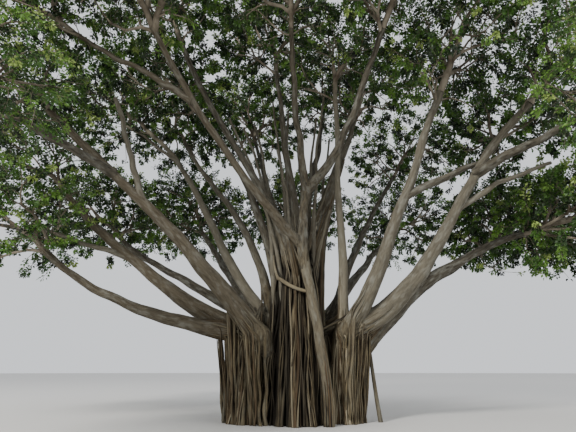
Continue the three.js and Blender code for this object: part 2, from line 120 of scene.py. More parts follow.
# Thinner stems that stand among the boughs. Each ends inside the foliage.
innerStems = {
    "slim_left": {"start": (-0.45, -0.75, 4.6), "heading": (190, 205), "rise": (84, 70, 62), "length": 6.6,
                  "girth": (0.10, 0.045)},
    "slim_centre": {"start": (-0.1, -0.8, 5.0), "heading": (160, 120), "rise": (86, 82, 78), "length": 7.6,
                    "girth": (0.095, 0.045)},
    "slim_right": {"start": (0.75, -0.6, 6.0), "heading": (40, 20), "rise": (88, 84, 80), "length": 7.2,
                   "girth": (0.085, 0.04)},
    "slim_rear": {"start": (0.9, 0.7, 4.2), "heading": (60, 70), "rise": (84, 74, 66), "length": 8.4,
                  "girth": (0.13, 0.05)},
    "slim_outer": {"start": (-0.7, -0.55, 4.3), "heading": (186, 175), "rise": (87, 80, 66), "length": 6.8,
                   "girth": (0.12, 0.05)},
    "slim_back": {"start": (-0.5, 0.3, 4.5), "heading": (150, 130), "rise": (86, 78, 68), "length": 8.0,
                  "girth": (0.13, 0.05)},
    "slim_middle": {"start": (-0.25, -0.1, 5.2), "heading": (95, 80), "rise": (88, 85, 78), "length": 7.4,
                    "girth": (0.12, 0.045)},
    "slim_front": {"start": (0.05, -1.0, 5.0), "heading": (200, 215), "rise": (88, 80, 74), "length": 4.6,
                   "girth": (0.075, 0.04)},
    "slim_high": {"start": (0.55, 0.4, 5.0), "heading": (55, 65), "rise": (87, 82, 72), "length": 7.8,
                  "girth": (0.12, 0.05)},
    "side_fork": {"on": "left_front", "at": 0.58, "heading": (225, 240), "rise": (60, 68, 55), "length": 3.8,
                  "girth": (0.13, 0.08)},
    "pale_fork": {"on": "pale_left", "at": 0.72, "heading": (190, 206), "rise": (52, 34, 22), "length": 3.4,
                  "girth": (0.10, 0.06)},
    "low_fork": {"on": "left_main", "at": 0.57, "heading": (183, 196), "rise": (18, 16, 22), "length": 3.9,
                 "girth": (0.13, 0.07)},
    "right_fork": {"on": "right_main", "at": 0.57, "heading": (352, 368), "rise": (34, 26, 20), "length": 4.2,
                   "girth": (0.13, 0.07)},
}

# The trunk: clusters of fused roots, as ellipses at breast height that narrow and lean as they rise.
clusters = {
    "centre": {"x": 0.04, "y": -0.30, "halfWidth": 1.08, "halfDepth": 1.25, "height": 6.5, "leanX": 0.06,
               "leanY": 0.20, "roots": 76, "top": (4.6, 6.3), "girth": (0.024, 0.085), "hosts": ()},
    "left": {"x": -1.64, "y": -0.15, "halfWidth": 0.56, "halfDepth": 0.88, "height": 3.7, "leanX": 0.06,
             "leanY": 0.10, "roots": 50, "top": (2.7, 3.5), "girth": (0.022, 0.075),
             "hosts": ("left_front", "left_main", "left_low")},
    "right": {"x": 1.69, "y": -0.05, "halfWidth": 0.56, "halfDepth": 0.86, "height": 3.5, "leanX": 0.16,
              "leanY": 0.0, "roots": 50, "top": (2.5, 3.3), "girth": (0.022, 0.075),
              "hosts": ("right_up", "right_main", "right_low", "pale_up")},
    "rear_left": {"x": -0.88, "y": 1.15, "halfWidth": 0.80, "halfDepth": 0.70, "height": 4.1, "leanX": -0.06,
                  "leanY": 0.08, "roots": 42, "top": (3.1, 3.9), "girth": (0.026, 0.085),
                  "hosts": ("back_left", "left_rear")},
    "rear_right": {"x": 0.95, "y": 1.15, "halfWidth": 0.85, "halfDepth": 0.70, "height": 4.0, "leanX": 0.08,
                   "leanY": 0.08, "roots": 42, "top": (3.0, 3.8), "girth": (0.026, 0.085),
                   "hosts": ("back_right", "right_back_low")},
}
clusterOutline = np.array([[0, 1.14], [0.1, 1.03], [0.35, 0.98], [0.65, 0.92], [0.86, 0.74], [1, 0.3]])

# Smooth stems fused to the front and inside of the trunk, and the root that hooks across its front.
trunkStems = {
    "front": {"start": (1.06, -1.42, 0), "heading": (180, 180), "rise": (91, 80, 84), "length": 6.1,
              "girth": (0.145, 0.19)},
    "crown": {"start": (0.29, -1.42, 5.9), "heading": (20, 20), "rise": (83, 87, 82), "length": 2.35,
              "girth": (0.19, 0.165)},
    "fluted": {"start": (0.62, -0.15, 3.0), "heading": (40, 40), "rise": (88, 82, 76), "length": 3.95,
               "girth": (0.42, 0.35)},
    "hook": {"start": (-0.56, -1.08, 4.7), "heading": (330, 360), "rise": (-40, -28, 0), "length": 1.35,
             "girth": (0.085, 0.07)},
}

propRoots = {
    "prop_root_left": {"start": (-2.33, -0.35, 0), "heading": (0, 0), "rise": (88, 90, 89), "length": 3.3,
                       "girth": (0.048, 0.036)},
    "prop_root_right": {"start": (2.88, -0.15, 0), "heading": (180, 180), "rise": (82, 85, 84), "length": 2.9,
                        "girth": (0.078, 0.06)},
}


def seededDraw(seed):
    state = seed & 0xFFFFFFFF

    def draw():
        nonlocal state
        state = (state + 0x6D2B79F5) & 0xFFFFFFFF
        mixed = ((state ^ (state >> 15)) * (state | 1)) & 0xFFFFFFFF
        mixed ^= (mixed + (((mixed ^ (mixed >> 7)) * (mixed | 61)) & 0xFFFFFFFF)) & 0xFFFFFFFF
        return ((mixed ^ (mixed >> 14)) & 0xFFFFFFFF) / 4294967296
    return draw


def unit(vectors):
    return vectors / np.maximum(np.linalg.norm(vectors, axis=-1, keepdims=True), 1e-9)


def throughThree(values, share):
    start, middle, end = values
    near = start * (1 - share) * (1 - 2 * share)
    return near + middle * 4 * share * (1 - share) + end * share * (2 * share - 1)


def girthAt(limb, share):
    root, tip = limb["girth"]
    return tip + (root - tip) * (1 - share) ** girthFall


def limbLine(limb, start, steps=limbSteps):
    share = (np.arange(steps) + 0.5) / steps
    turn = np.radians(limb["heading"][0] + (limb["heading"][1] - limb["heading"][0]) * share)
    rise = np.radians(throughThree(limb["rise"], share))
    step = np.stack([np.cos(turn) * np.cos(rise), np.sin(turn) * np.cos(rise), np.sin(rise)], 1)
    return np.vstack([start, start + np.cumsum(step * limb["length"] / steps, axis=0)])


def startOf(limb):
    # A fork starts on the line of the bough that carries it.
    if "on" in limb:
        return boughs[limb["on"]]["line"][int(limb["at"] * limbSteps + 0.5)]
    return np.array(limb["start"], dtype=float)


def smoothLine(points, perStep):
    # A curve through every point, with the same number of samples between each two.
    padded = np.vstack([2 * points[0] - points[1], points, 2 * points[-1] - points[-2]])
    a, b, c, d = padded[:-3, None], padded[1:-2, None], padded[2:-1, None], padded[3:, None]
    t = (np.arange(perStep) / perStep)[None, :, None]
    square = 2 * a - 5 * b + 4 * c - d
    cube = 3 * b - a - 3 * c + d
    curve = 0.5 * (2 * b + (c - a) * t + square * t ** 2 + cube * t ** 3)
    return np.vstack([curve.reshape(-1, 3), points[-1]])


def lengthsAlong(line):
    return np.concatenate([[0], np.cumsum(np.linalg.norm(np.diff(line, axis=0), axis=1))])


def pointsAt(places, along, line):
    return np.stack([np.interp(places, along, line[:, axis]) for axis in range(3)], -1)


skewTurn = (0.6, 0.9, 0.4)      # turns the noise off the limbs' own directions
skew = np.array(Euler(skewTurn).to_matrix())
lumpStep = np.array([1.37, 2.11, 0.73])
lumpGain = 1.6


def lumps(points, seed=0):
    # Smooth random lumps about one unit across, from about -1 to 1.
    moved = points @ skew.T + lumpStep * seed
    return np.array([noise.noise(point) for point in moved.tolist()]) * lumpGain


def layOut():
    for index, (name, bough) in enumerate(boughs.items()):
        line = limbLine(bough, startOf(bough))
        aim = unit(line[-1] - line[-2])
        middle = line[-1] + aim * massLead * bough["spread"]
        away = float(np.linalg.norm(middle - np.array(viewpoint["eye"])))
        leaf = min(max(leafRule["perMetre"] * away, leafRule["length"][0]), leafRule["length"][1])
        bough.update(name=name, seed=index + 1, line=line, tip=line[-1], aim=aim, middle=middle, leaf=leaf,
                     reach=np.array([bough["spread"], bough["spread"], bough["depth"]]))


layOut()
print("limbs laid out:", len(boughs))


def addCamera():
    data = bpy.data.cameras.new("camera")
    data.sensor_width = viewpoint["sensor"]
    data.lens = viewpoint["focalPixels"] / viewpoint["imageWidth"] * viewpoint["sensor"]
    camera = bpy.data.objects.new("camera", data)
    camera.location = viewpoint["eye"]
    camera.rotation_euler = (math.radians(90 + viewpoint["pitch"]), 0, 0)
    scene.collection.objects.link(camera)
    scene.camera = camera


addCamera()


# Materials

def newMaterial(name):
    material = bpy.data.materials.new(name)
    material.use_nodes = True
    nodes = material.node_tree.nodes
    shader = nodes["Principled BSDF"]
    return material, nodes, material.node_tree.links, shader


# Two kinds of bark run into each other: the ropy one of the roots and the smooth one of the limbs.
# The crest colours are a painted highlight, a lighter tan laid on the convex ridges of the limbs.
rootBark = {"dark": (0.032, 0.023, 0.012, 1), "light": (0.150, 0.121, 0.070, 1),
            "patch": (0.11, 0.106, 0.078, 1), "pale": (0.35, 0.30, 0.205, 1),
            "ruddy": (0.078, 0.045, 0.022, 1), "crestHighlight": (0.21, 0.175, 0.112, 1)}
limbBark = {"dark": (0.026, 0.022, 0.016, 1), "light": (0.098, 0.088, 0.066, 1),
            "patch": (0.190, 0.192, 0.170, 1), "pale": (0.235, 0.212, 0.158, 1),
            "ruddy": (0.098, 0.074, 0.040, 1), "crestHighlight": (0.16, 0.145, 0.11, 1)}
# The near-black cleft colour is painted shade, laid into hollows and the gaps between roots.
barkLook = {"cleftShadeColour": (0.007, 0.005, 0.003, 1), "streakScale": 13.0, "streakStretch": 0.22,
            "patchScale": 7.0, "patchStretch": 0.35, "fineScale": 45.5, "fineStretch": 0.4,
            "fineHeight": 0.4, "streaks": (0.34, 0.66), "patches": (0.50, 0.68, 0.6),
            "pale": (0.5, 1.0, 0.8), "ruddy": (0.3, 0.0, 0.7), "crestHighlights": (0.45, 0.0, 0.4),
            "cleftShading": (0.5, 0.86, 0.96), "bump": 0.8, "bumpDepth": 0.02, "roughness": 0.88,
            "gloss": 0.25}


def barkMaterial():
    material, nodes, links, shader = newMaterial("bark")
    shader.inputs["Roughness"].default_value = barkLook["roughness"]
    shader.inputs["Specular IOR Level"].default_value = barkLook["gloss"]

    def attribute(name):
        node = nodes.new("ShaderNodeAttribute")
        node.attribute_name = name
        return node

    def pattern(scale, detail, roughness, stretch):
        mapping = nodes.new("ShaderNodeMapping")
        mapping.inputs["Scale"].default_value = (scale, scale, scale * stretch)
        mapping.inputs["Rotation"].default_value = skewTurn
        texture = nodes.new("ShaderNodeTexNoise")
        texture.inputs["Scale"].default_value = 1.0
        texture.inputs["Detail"].default_value = detail
        texture.inputs["Roughness"].default_value = roughness
        links.new(grain.outputs["Vector"], mapping.inputs["Vector"])
        links.new(mapping.outputs["Vector"], texture.inputs["Vector"])
        return texture.outputs["Fac"]

    def share(value, low, high, most=1.0):
        node = nodes.new("ShaderNodeMapRange")
        node.inputs["From Min"].default_value = low
        node.inputs["From Max"].default_value = high
        node.inputs["To Max"].default_value = most
        links.new(value, node.inputs["Value"])
        return node.outputs["Result"]

    def mixed(factor, first, second):
        mix = nodes.new("ShaderNodeMix")
        mix.data_type = "RGBA"
        sockets = {socket.identifier: socket for socket in mix.inputs}
        links.new(factor, sockets["Factor_Float"])
        for key, value in (("A_Color", first), ("B_Color", second)):
            if isinstance(value, tuple):
                sockets[key].default_value = value
            else:
                links.new(value, sockets[key])
        return next(socket for socket in mix.outputs if socket.identifier == "Result_Color")

    grain = attribute("grain")
    tone = attribute("tone").outputs["Fac"]
    cleftShade = attribute("cleftShade").outputs["Fac"]
    streaks = pattern(barkLook["streakScale"], 8, 0.62, barkLook["streakStretch"])
    patches = pattern(barkLook["patchScale"], 4, 0.55, barkLook["patchStretch"])
    fine = pattern(barkLook["fineScale"], 6, 0.7, barkLook["fineStretch"])
    inStreak = share(streaks, *barkLook["streaks"])
    inPatch = share(patches, *barkLook["patches"])
    isPale = share(tone, *barkLook["pale"])
    isRuddy = share(tone, *barkLook["ruddy"])
    # Painted highlight: the crest colour is mixed in where the surface is convex.
    onCrestHighlight = share(cleftShade, *barkLook["crestHighlights"])
    # Painted shade: the cleft value darkens the colour towards near-black in hollows and between roots.
    inCleftShade = share(cleftShade, *barkLook["cleftShading"])

    def coloured(bark):
        colour = mixed(inStreak, bark["dark"], bark["light"])
        colour = mixed(inPatch, colour, bark["patch"])
        colour = mixed(isPale, colour, bark["pale"])
        colour = mixed(isRuddy, colour, bark["ruddy"])
        return mixed(onCrestHighlight, colour, bark["crestHighlight"])

    colour = mixed(attribute("limb").outputs["Fac"], coloured(rootBark), coloured(limbBark))
    links.new(mixed(inCleftShade, colour, barkLook["cleftShadeColour"]), shader.inputs["Base Color"])
    relief = nodes.new("ShaderNodeMath")
    relief.operation = "MULTIPLY_ADD"
    relief.inputs[1].default_value = barkLook["fineHeight"]
    links.new(fine, relief.inputs[0])
    links.new(streaks, relief.inputs[2])
    bump = nodes.new("ShaderNodeBump")
    bump.inputs["Strength"].default_value = barkLook["bump"]
    bump.inputs["Distance"].default_value = barkLook["bumpDepth"]
    links.new(relief.outputs["Value"], bump.inputs["Height"])
    links.new(bump.outputs["Normal"], shader.inputs["Normal"])
    return material


bark = barkMaterial()


twigLook = {"dark": (0.085, 0.068, 0.048, 1), "light": (0.25, 0.22, 0.17, 1), "edges": (0.35, 0.7),
            "scale": 2.5}


def twigMaterial():
    material, nodes, links, shader = newMaterial("twig_bark")
    shader.inputs["Roughness"].default_value = 0.85
    shader.inputs["Specular IOR Level"].default_value = 0.2
    place = nodes.new("ShaderNodeTexCoord")
    texture = nodes.new("ShaderNodeTexNoise")
    texture.inputs["Scale"].default_value = twigLook["scale"]
    texture.inputs["Detail"].default_value = 5
    ramp = nodes.new("ShaderNodeValToRGB")
    for stop, colour, edge in zip(ramp.color_ramp.elements, ("dark", "light"), twigLook["edges"]):
        stop.color = twigLook[colour]
        stop.position = edge
    links.new(place.outputs["Object"], texture.inputs["Vector"])
    links.new(texture.outputs["Fac"], ramp.inputs["Fac"])
    links.new(ramp.outputs["Color"], shader.inputs["Base Color"])
    return material


twigBark = twigMaterial()

# Leaf colours from darkest to lightest. The sprays take lighter ones on the outside and top of a mass and
# darker ones inside: painted light and shade.
leafColours = {
    "deep": (0.005, 0.014, 0.0025, 1),
    "dark": (0.015, 0.041, 0.006, 1),
    "middle": (0.040, 0.103, 0.012, 1),
    "bright": (0.100, 0.204, 0.027, 1),
    "young_and_lit": (0.24, 0.33, 0.08, 1),
}
leafGloss = {"specular": 0.45, "roughness": (0.38, 0.62), "scale": 9.0}


def leafMaterial(name, colour):
    material, nodes, links, shader = newMaterial("leaf_" + name)
    shader.inputs["Base Color"].default_value = colour
    shader.inputs["Specular IOR Level"].default_value = leafGloss["specular"]
    place = nodes.new("ShaderNodeTexCoord")
    texture = nodes.new("ShaderNodeTexNoise")
    texture.inputs["Scale"].default_value = leafGloss["scale"]
    gloss = nodes.new("ShaderNodeMapRange")
    gloss.inputs["To Min"].default_value = leafGloss["roughness"][0]
    gloss.inputs["To Max"].default_value = leafGloss["roughness"][1]
    links.new(place.outputs["Object"], texture.inputs["Vector"])
    links.new(texture.outputs["Fac"], gloss.inputs["Value"])
    links.new(gloss.outputs["Result"], shader.inputs["Roughness"])
    return material


leafMaterials = [leafMaterial(name, colour) for name, colour in leafColours.items()]
print("materials made")


# Limbs

def turnTo(before, after):
    return Vector(before).rotation_difference(Vector(after)).to_matrix().to_4x4()


def sweepLimb(line, radii, sides):
    # A closed limb: a capped circle extruded along the line, turned and scaled at each step.
    aims = unit(np.vstack([line[1] - line[0], line[2:] - line[:-2], line[-1] - line[-2]]))
    mesh = bmesh.new()
    grain = mesh.verts.layers.float_vector.new("grain")
    place = Matrix.Translation(line[0]) @ turnTo(up, aims[0])
    made = bmesh.ops.create_circle(mesh, cap_ends=True, radius=radii[0], segments=sides, matrix=place)
    ring = made["verts"]
    face = ring[0].link_faces[0]
    across = Vector(place.col[0][:3])
    along = 0.0

    def mark(verts, centre, aim):
        beside = Vector(aim).cross(across)
        for vert in verts:
            out = vert.co - Vector(centre)
            vert[grain] = (out.dot(across), out.dot(beside), along)

    mark(ring, line[0], aims[0])
    for i in range(1, len(line)):
        grown = bmesh.ops.extrude_face_region(mesh, geom=[face, *face.edges])["geom"]
        verts = [item for item in grown if isinstance(item, bmesh.types.BMVert)]
        face = next(item for item in grown if isinstance(item, bmesh.types.BMFace))
        turn = turnTo(aims[i - 1], aims[i])
        move = (Matrix.Translation(line[i]) @ turn @ Matrix.Scale(radii[i] / radii[i - 1], 4)
                @ Matrix.Translation(-Vector(line[i - 1])))
        bmesh.ops.transform(mesh, matrix=move, verts=verts)
        across.rotate(turn)
        along += float(np.linalg.norm(line[i] - line[i - 1]))
        mark(verts, line[i], aims[i])
    bmesh.ops.recalc_face_normals(mesh, faces=mesh.faces)
    return mesh


def vertexArray(mesh, attribute="co"):
    values = np.empty(len(mesh.vertices) * 3)
    mesh.vertices.foreach_get(attribute, values)
    return values.reshape(-1, 3)


def readValues(mesh, name, field, width):
    values = np.empty(len(mesh.vertices) * width)
    mesh.attributes[name].data.foreach_get(field, values)
    return values.reshape(-1, width)


def meshFrom(shape, name):
    mesh = bpy.data.meshes.new(name)
    shape.to_mesh(mesh)
    shape.free()
    return mesh


def shift(mesh, points, move):
    points += move
    mesh.vertices.foreach_set("co", points.ravel())
    mesh.update()


flatRim = 0.05           # the bark's relief dies out over this height, so that the cut stays flat


def aboveGround(points):
    return np.clip(points[:, 2] / flatRim, 0, 1)


def cavityOf(mesh, gain, rounds):
    # How hollow the surface is at each vertex: 0.5 where it is even, 1 in a hollow and 0 on a ridge. The bark
    # paints shade into the hollows and a highlight on the ridges by this value.
    points = vertexArray(mesh)
    normals = vertexArray(mesh, "normal")
    edges = np.empty(len(mesh.edges) * 2, dtype=np.int32)
    mesh.edges.foreach_get("vertices", edges)
    ends = edges.reshape(-1, 2)
    count = np.bincount(edges, minlength=len(points)).astype(float)[:, None]

    def around(values):
        total = np.zeros_like(values)
        for column in range(values.shape[1]):
            total[:, column] += np.bincount(ends[:, 0], values[ends[:, 1], column], len(points))
            total[:, column] += np.bincount(ends[:, 1], values[ends[:, 0], column], len(points))
        return total / np.maximum(count, 1)

    hollow = ((around(points) - points) * normals).sum(1)[:, None]
    for _ in range(rounds):
        hollow = (hollow + around(hollow)) / 2
    return np.clip(0.5 + hollow[:, 0] * gain, 0, 1)


def distanceTo(places, points):
    # How far each point is from the nearest of some places.
    tree = kdtree.KDTree(len(places))
    for index, place in enumerate(places):
        tree.insert(place, index)
    tree.balance()
    return np.array([tree.find(point)[2] for point in points])


def setAttribute(mesh, name, values):
    kind, field = ("FLOAT_VECTOR", "vector") if values.ndim == 2 else ("FLOAT", "value")
    attribute = mesh.attributes.get(name) or mesh.attributes.new(name, kind, "POINT")
    attribute.data.foreach_set(field, np.ascontiguousarray(values, dtype=np.float32).ravel())


def addPiece(name, mesh, material, nodes=()):
    piece = bpy.data.objects.new(name, mesh)
    scene.collection.objects.link(piece)
    if material:
        mesh.materials.append(material)
    mesh.polygons.foreach_set("use_smooth", np.ones(len(mesh.polygons), dtype=bool))
    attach(piece, "root")
    if nodes:
        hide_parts(*nodes)


bendWaves = (1.7, 3.1, 5.3)


def wobble(line, draw, size):
    # Small bends to the sides that die out at both ends.
    share = np.linspace(0, 1, len(line))[:, None]
    fade = np.sin(np.pi * share)
    for waves in bendWaves:
        aim = unit(np.array([draw() - 0.5, draw() - 0.5, draw() - 0.5]))
        line = line + fade * aim * size / waves * np.sin(2 * np.pi * (waves * share + draw()))
    return line


def roughen(mesh, girth, relief, seed):
    # Lumps, long flutes near the root and fine ridges of bark, all moved along the normals.
    points = vertexArray(mesh)
    normals = vertexArray(mesh, "normal")
    grain = readValues(mesh, "grain", "vector", 3)
    near = np.exp(-grain[:, 2] / relief["fluteLength"])
    across = girth[0] * relief["fluteWidth"]
    move = relief["lump"] * lumps(grain * relief["lumpScale"], seed)
    move += relief["flute"] * near * lumps(grain / [across, across, relief["fluteRun"]], seed + 3)
    move += relief["ridge"] * lumps(grain * relief["ridgeScale"], seed + 5)
    move *= np.minimum(1, girth[0] / relief["fullGirth"]) * aboveGround(points)
    shift(mesh, points, normals * move[:, None])
    return grain[:, 2]


boughRelief = {"lump": 0.018, "lumpScale": [5.0, 5.0, 1.3], "flute": 0.055, "fluteLength": 1.8,
               "fluteWidth": 0.75, "fluteRun": 2.2, "ridge": 0.008, "ridgeScale": [16, 16, 3.0],
               "fullGirth": 0.3}
boughShape = {"sides": 26, "thinSides": 16, "thinGirth": 0.15, "ring": 0.075, "slim": 0.94,
              "wobble": 0.09, "forkFlare": 0.25, "flareLength": 0.45, "rootyLength": 0.8, "cavity": 26}
footRun = {"depth": 1.7, "inward": 0.3, "girth": 0.6}


def withFoot(line, radii):
    # Carries a stem on down among the roots of the trunk, thinner and further in.
    down = np.linspace(1, 0, 9)[1:-1, None] if line[0][2] > footRun["depth"] else np.empty((0, 1))
    inward = -line[0] * [1, 1, 0] * footRun["inward"]
    extra = line[0] + inward * down ** 1.5 - np.array([0, 0, footRun["depth"]]) * down
    thin = radii[0] * (1 - (1 - footRun["girth"]) * down[:, 0])
    return np.vstack([extra, line]), np.append(thin, radii)


# A limb that stands on the front stem begins a little way down inside it, and the stem's top thins out
# in it.
collar = {"step": (0.03, 0.0, -0.22), "girth": (0.7, 0.9)}
sunkTop = (0.97, 0.92, 0.82, 0.65)


def limbGirth(limb, line, flare):
    share = np.linspace(0, 1, len(line))
    return girthAt(limb, share) * (1 + flare * np.exp(-share * limb["length"] / boughShape["flareLength"]))


def makeBough(name, limb, look, nodes=()):
    draw = seededDraw(900 + limb["seed"])
    perStep = max(4, int(limb["length"] / limbSteps / boughShape["ring"]))
    line = wobble(smoothLine(limb["line"], perStep), draw, look.get("wobble", boughShape["wobble"]))
    flare = boughShape["forkFlare"] if "on" in limb else 0.0
    radii = limbGirth(limb, line, flare) * look.get("slim", boughShape["slim"])
    limb["fine"] = line
    if look.get("grounded"):
        line, radii = np.vstack([line[0] - [0, 0, belowGround], line]), np.append(radii[0], radii)
    if look.get("sunk"):
        radii[-4:] *= sunkTop
    if look.get("collar"):
        line = np.vstack([line[0] + np.outer([2, 1], collar["step"]), line])
        radii = np.append(radii[0] * np.array(collar["girth"]), radii)
    if look.get("footed"):
        line, radii = withFoot(line, radii)
    sides = boughShape["sides" if limb["girth"][0] > boughShape["thinGirth"] else "thinSides"]
    shape = sweepLimb(line, radii, sides)
    if look.get("grounded"):
        cutAtGround(shape)
    mesh = meshFrom(shape, name)
    along = roughen(mesh, limb["girth"], boughRelief, limb["seed"] * 17)
    rootPart = np.exp(-along / boughShape["rootyLength"]) * look.get("rooty", 0)
    # Painted shade in the bough's hollows and a painted highlight on its ridges, from its curvature.
    setAttribute(mesh, "cleftShade", cavityOf(mesh, boughShape["cavity"], 2))
    setAttribute(mesh, "tone", np.full(len(mesh.vertices), look["tone"]))
    setAttribute(mesh, "limb", 1 - np.maximum(rootPart, look.get("ropy", 0)))
    addPiece(name, mesh, bark, nodes)


def cutAtGround(shape):
    cut = bmesh.ops.bisect_plane(shape, geom=[*shape.verts, *shape.edges, *shape.faces],
                                 plane_co=(0, 0, 0), plane_no=(0, 0, 1), clear_inner=True)
    rim = [item for item in cut["geom_cut"] if isinstance(item, bmesh.types.BMEdge)]
    bmesh.ops.holes_fill(shape, edges=rim, sides=0)
    bmesh.ops.triangulate(shape, faces=[face for face in shape.faces if len(face.verts) > 4])


boughTones = {"front_left": 0.2, "front_left_fork": 0.2, "left_main": 0.16, "left_low": 0.2,
              "left_front": 0.18, "left_rear": 0.5, "pale_left": 0.75, "high_left": 0.6, "mid_left": 0.5,
              "centre_up": 0.25, "centre_right": 0.3, "apex": 0.55, "fluted_right": 0.6, "pale_up": 0.8,
              "right_up": 0.62, "right_main": 0.62, "right_low": 0.5}
boughLooks = {"front_left": {"collar": True, "slim": 0.86}}
for name, bough in boughs.items():
    look = {"tone": boughTones.get(name, 0.4), "rooty": 0.0 if "on" in bough else 0.45}
    makeBough(name, bough, look | boughLooks.get(name, {}), nodes=["bough_" + name])
for index, (name, stem) in enumerate(innerStems.items()):
    stem.update(seed=60 + index, line=limbLine(stem, startOf(stem)))
    makeBough(name, stem, {"tone": 0.65, "footed": "on" not in stem})
for index, stem in enumerate(trunkStems.values()):
    stem.update(seed=90 + index, line=limbLine(stem, startOf(stem)))
stemLooks = {"front": {"tone": 0.55, "ropy": 0.45, "grounded": True, "wobble": 0.05, "sunk": True},
             "crown": {"tone": 0.45, "ropy": 0.35, "wobble": 0.02, "collar": True}}
for name, look in stemLooks.items():
    makeBough(name + "_stem", trunkStems[name], look, ["trunk"])
print("boughs made")


# The trunk

rootRule = {"waves": (0.02, 0.065), "pace": (1.2, 1.6), "reach": (0.78, 1.32), "sides": 8,
            "thinSides": 6, "ring": 0.14, "flare": 0.35, "flareHeight": 0.25,
            "knots": ((17, 0.14), (41, 0.08)), "tip": 0.25, "bundle": 0.12, "bundleDrift": 0.8,
            "hollow": 0.2, "hollowScale": 1.4, "core": 0.72, "coreTop": 0.93,
            "runParts": (0.3, 0.55, 0.8, 1.0), "hug": 0.97, "sink": 0.16, "joinGap": 0.2,
            "smoothSteps": 5}
heelRule = {"drop": 1.15, "dropShare": 0.8, "inward": 0.7, "end": 0.2, "over": 1.04, "tipOver": 0.84,
            "stub": 1.0}


def sizeAt(share):
    return np.interp(share, clusterOutline[:, 0], clusterOutline[:, 1])


def outlineAt(cluster, share, turn, swell=1.0):
    # Bundles of roots stand out between hollows that follow the turn.
    lobes = 0.5 - 0.5 * np.cos(cluster["lobes"] * turn + rootRule["bundleDrift"] * np.sin(3 * share))
    scale = rootRule["hollowScale"]
    ring = np.stack([np.cos(turn) * scale, np.sin(turn) * scale, share * np.ones_like(turn)], -1)
    hollows = np.clip(lumps(ring.reshape(-1, 3), cluster["lobes"]), 0, 1)
    size = sizeAt(share) * swell * (1 - rootRule["bundle"] * lobes) * (1 - rootRule["hollow"] * hollows)
    return np.stack([
        cluster["x"] + cluster["leanX"] * share + np.sin(turn) * cluster["halfWidth"] * size,
        cluster["y"] + cluster["leanY"] * share - np.cos(turn) * cluster["halfDepth"] * size,
        cluster["height"] * share * np.ones_like(turn)], -1)


def fromMiddle(points, cluster):
    # How far points lie from the middle of a cluster to the right and back, and their share of its height.
    share = points[:, 2] / cluster["height"]
    x = points[:, 0] - cluster["x"] - cluster["leanX"] * share
    y = points[:, 1] - cluster["y"] - cluster["leanY"] * share
    return x, y, share


clusterReach = 0.95      # share of its height that a cluster still carries boughs at
stemReach = {"side": 0.35, "height": 0.2}


def axisNear(point, height):
    # The middle of the cluster or stem that stands under a point.
    best, bestCost = point, math.inf
    for cluster in clusters.values():
        if height < cluster["height"] * clusterReach:
            share = height / cluster["height"]
            middle = np.array([cluster[axis] + cluster["lean" + axis.upper()] * share for axis in "xy"])
            cost = np.linalg.norm((point[:2] - middle) / [cluster["halfWidth"], cluster["halfDepth"]])
            if cost < bestCost:
                best, bestCost = np.append(middle, height), cost
    for stem in trunkStems.values():
        line = smoothLine(stem["line"], 6)
        middle = line[np.argmin(np.abs(line[:, 2] - height))]
        cost = np.linalg.norm(point[:2] - middle[:2]) / stemReach["side"]
        if abs(middle[2] - height) < stemReach["height"] and cost < bestCost:
            best, bestCost = middle, cost
    return best


fineSteps = 12


def heelLine(limb):
    # A bough's foot bends down into the trunk and thins out there, and its first part is sheathed with
    # the trunk.
    foot = limb["line"][0]
    aim = unit(limb["line"][1] - foot)
    drop = min(heelRule["drop"], heelRule["dropShare"] * foot[2])
    end = axisNear(foot, foot[2] - drop) * heelRule["inward"] + foot * (1 - heelRule["inward"])
    end[2] = foot[2] - drop
    bend = foot - aim * [0.1, 0.1, 0.3] * drop
    t = np.linspace(1, 0, 10)[:, None]
    down = foot * (1 - t) ** 2 + bend * 2 * t * (1 - t) + end * t ** 2
    fine = smoothLine(limb["line"], fineSteps)
    stub = fine[1:1 + int(heelRule["stub"] / (limb["length"] / limbSteps / fineSteps))]
    share = np.linspace(0, 1, len(stub))
    over = heelRule["over"] - (heelRule["over"] - heelRule["tipOver"]) * share ** 0.7
    stubGirth = over * girthAt(limb, share * heelRule["stub"] / limb["length"])
    footGirth = np.linspace(heelRule["end"], heelRule["over"], len(down)) * limb["girth"][0]
    return np.vstack([down, stub]), np.append(footGirth, stubGirth)


hostRule = {"highest": 2.4, "side": 0.7, "rise": 0.25}


def hostFor(point, middle):
    # The bough that a root comes down from: a near one whose foot lies towards the same side.
    best, bestCost = None, math.inf
    for limb in boughs.values():
        foot = limb["line"][0]
        rise = abs(foot[2] - point[2])
        if "on" in limb or rise > hostRule["highest"]:
            continue
        heading = unit((limb["line"][2] - foot)[:2])
        side = unit((point - middle)[:2])
        cost = np.linalg.norm((foot - point)[:2]) - hostRule["side"] * float(heading @ side)
        cost += hostRule["rise"] * rise
        if cost < bestCost:
            best, bestCost = limb, cost
    return best


pushRule = {"height": 0.12, "share": 0.93, "nearest": 0.05}


def pushOut(points):
    # Keeps a root on the outside of the boughs' feet.
    for at, radii in heels:
        away = points[:, None, :2] - at[None, :, :2]
        flat = np.linalg.norm(away, axis=2)
        level = np.abs(points[:, None, 2] - at[None, :, 2]) < pushRule["height"]
        need = np.where(level, radii[None] * pushRule["share"] - flat, -1)
        worst = np.argmax(need, axis=1)
        for row in np.nonzero(need[np.arange(len(points)), worst] > 0)[0]:
            k = worst[row]
            points[row, :2] += away[row, k] / max(flat[row, k], pushRule["nearest"]) * need[row, k]
    return points


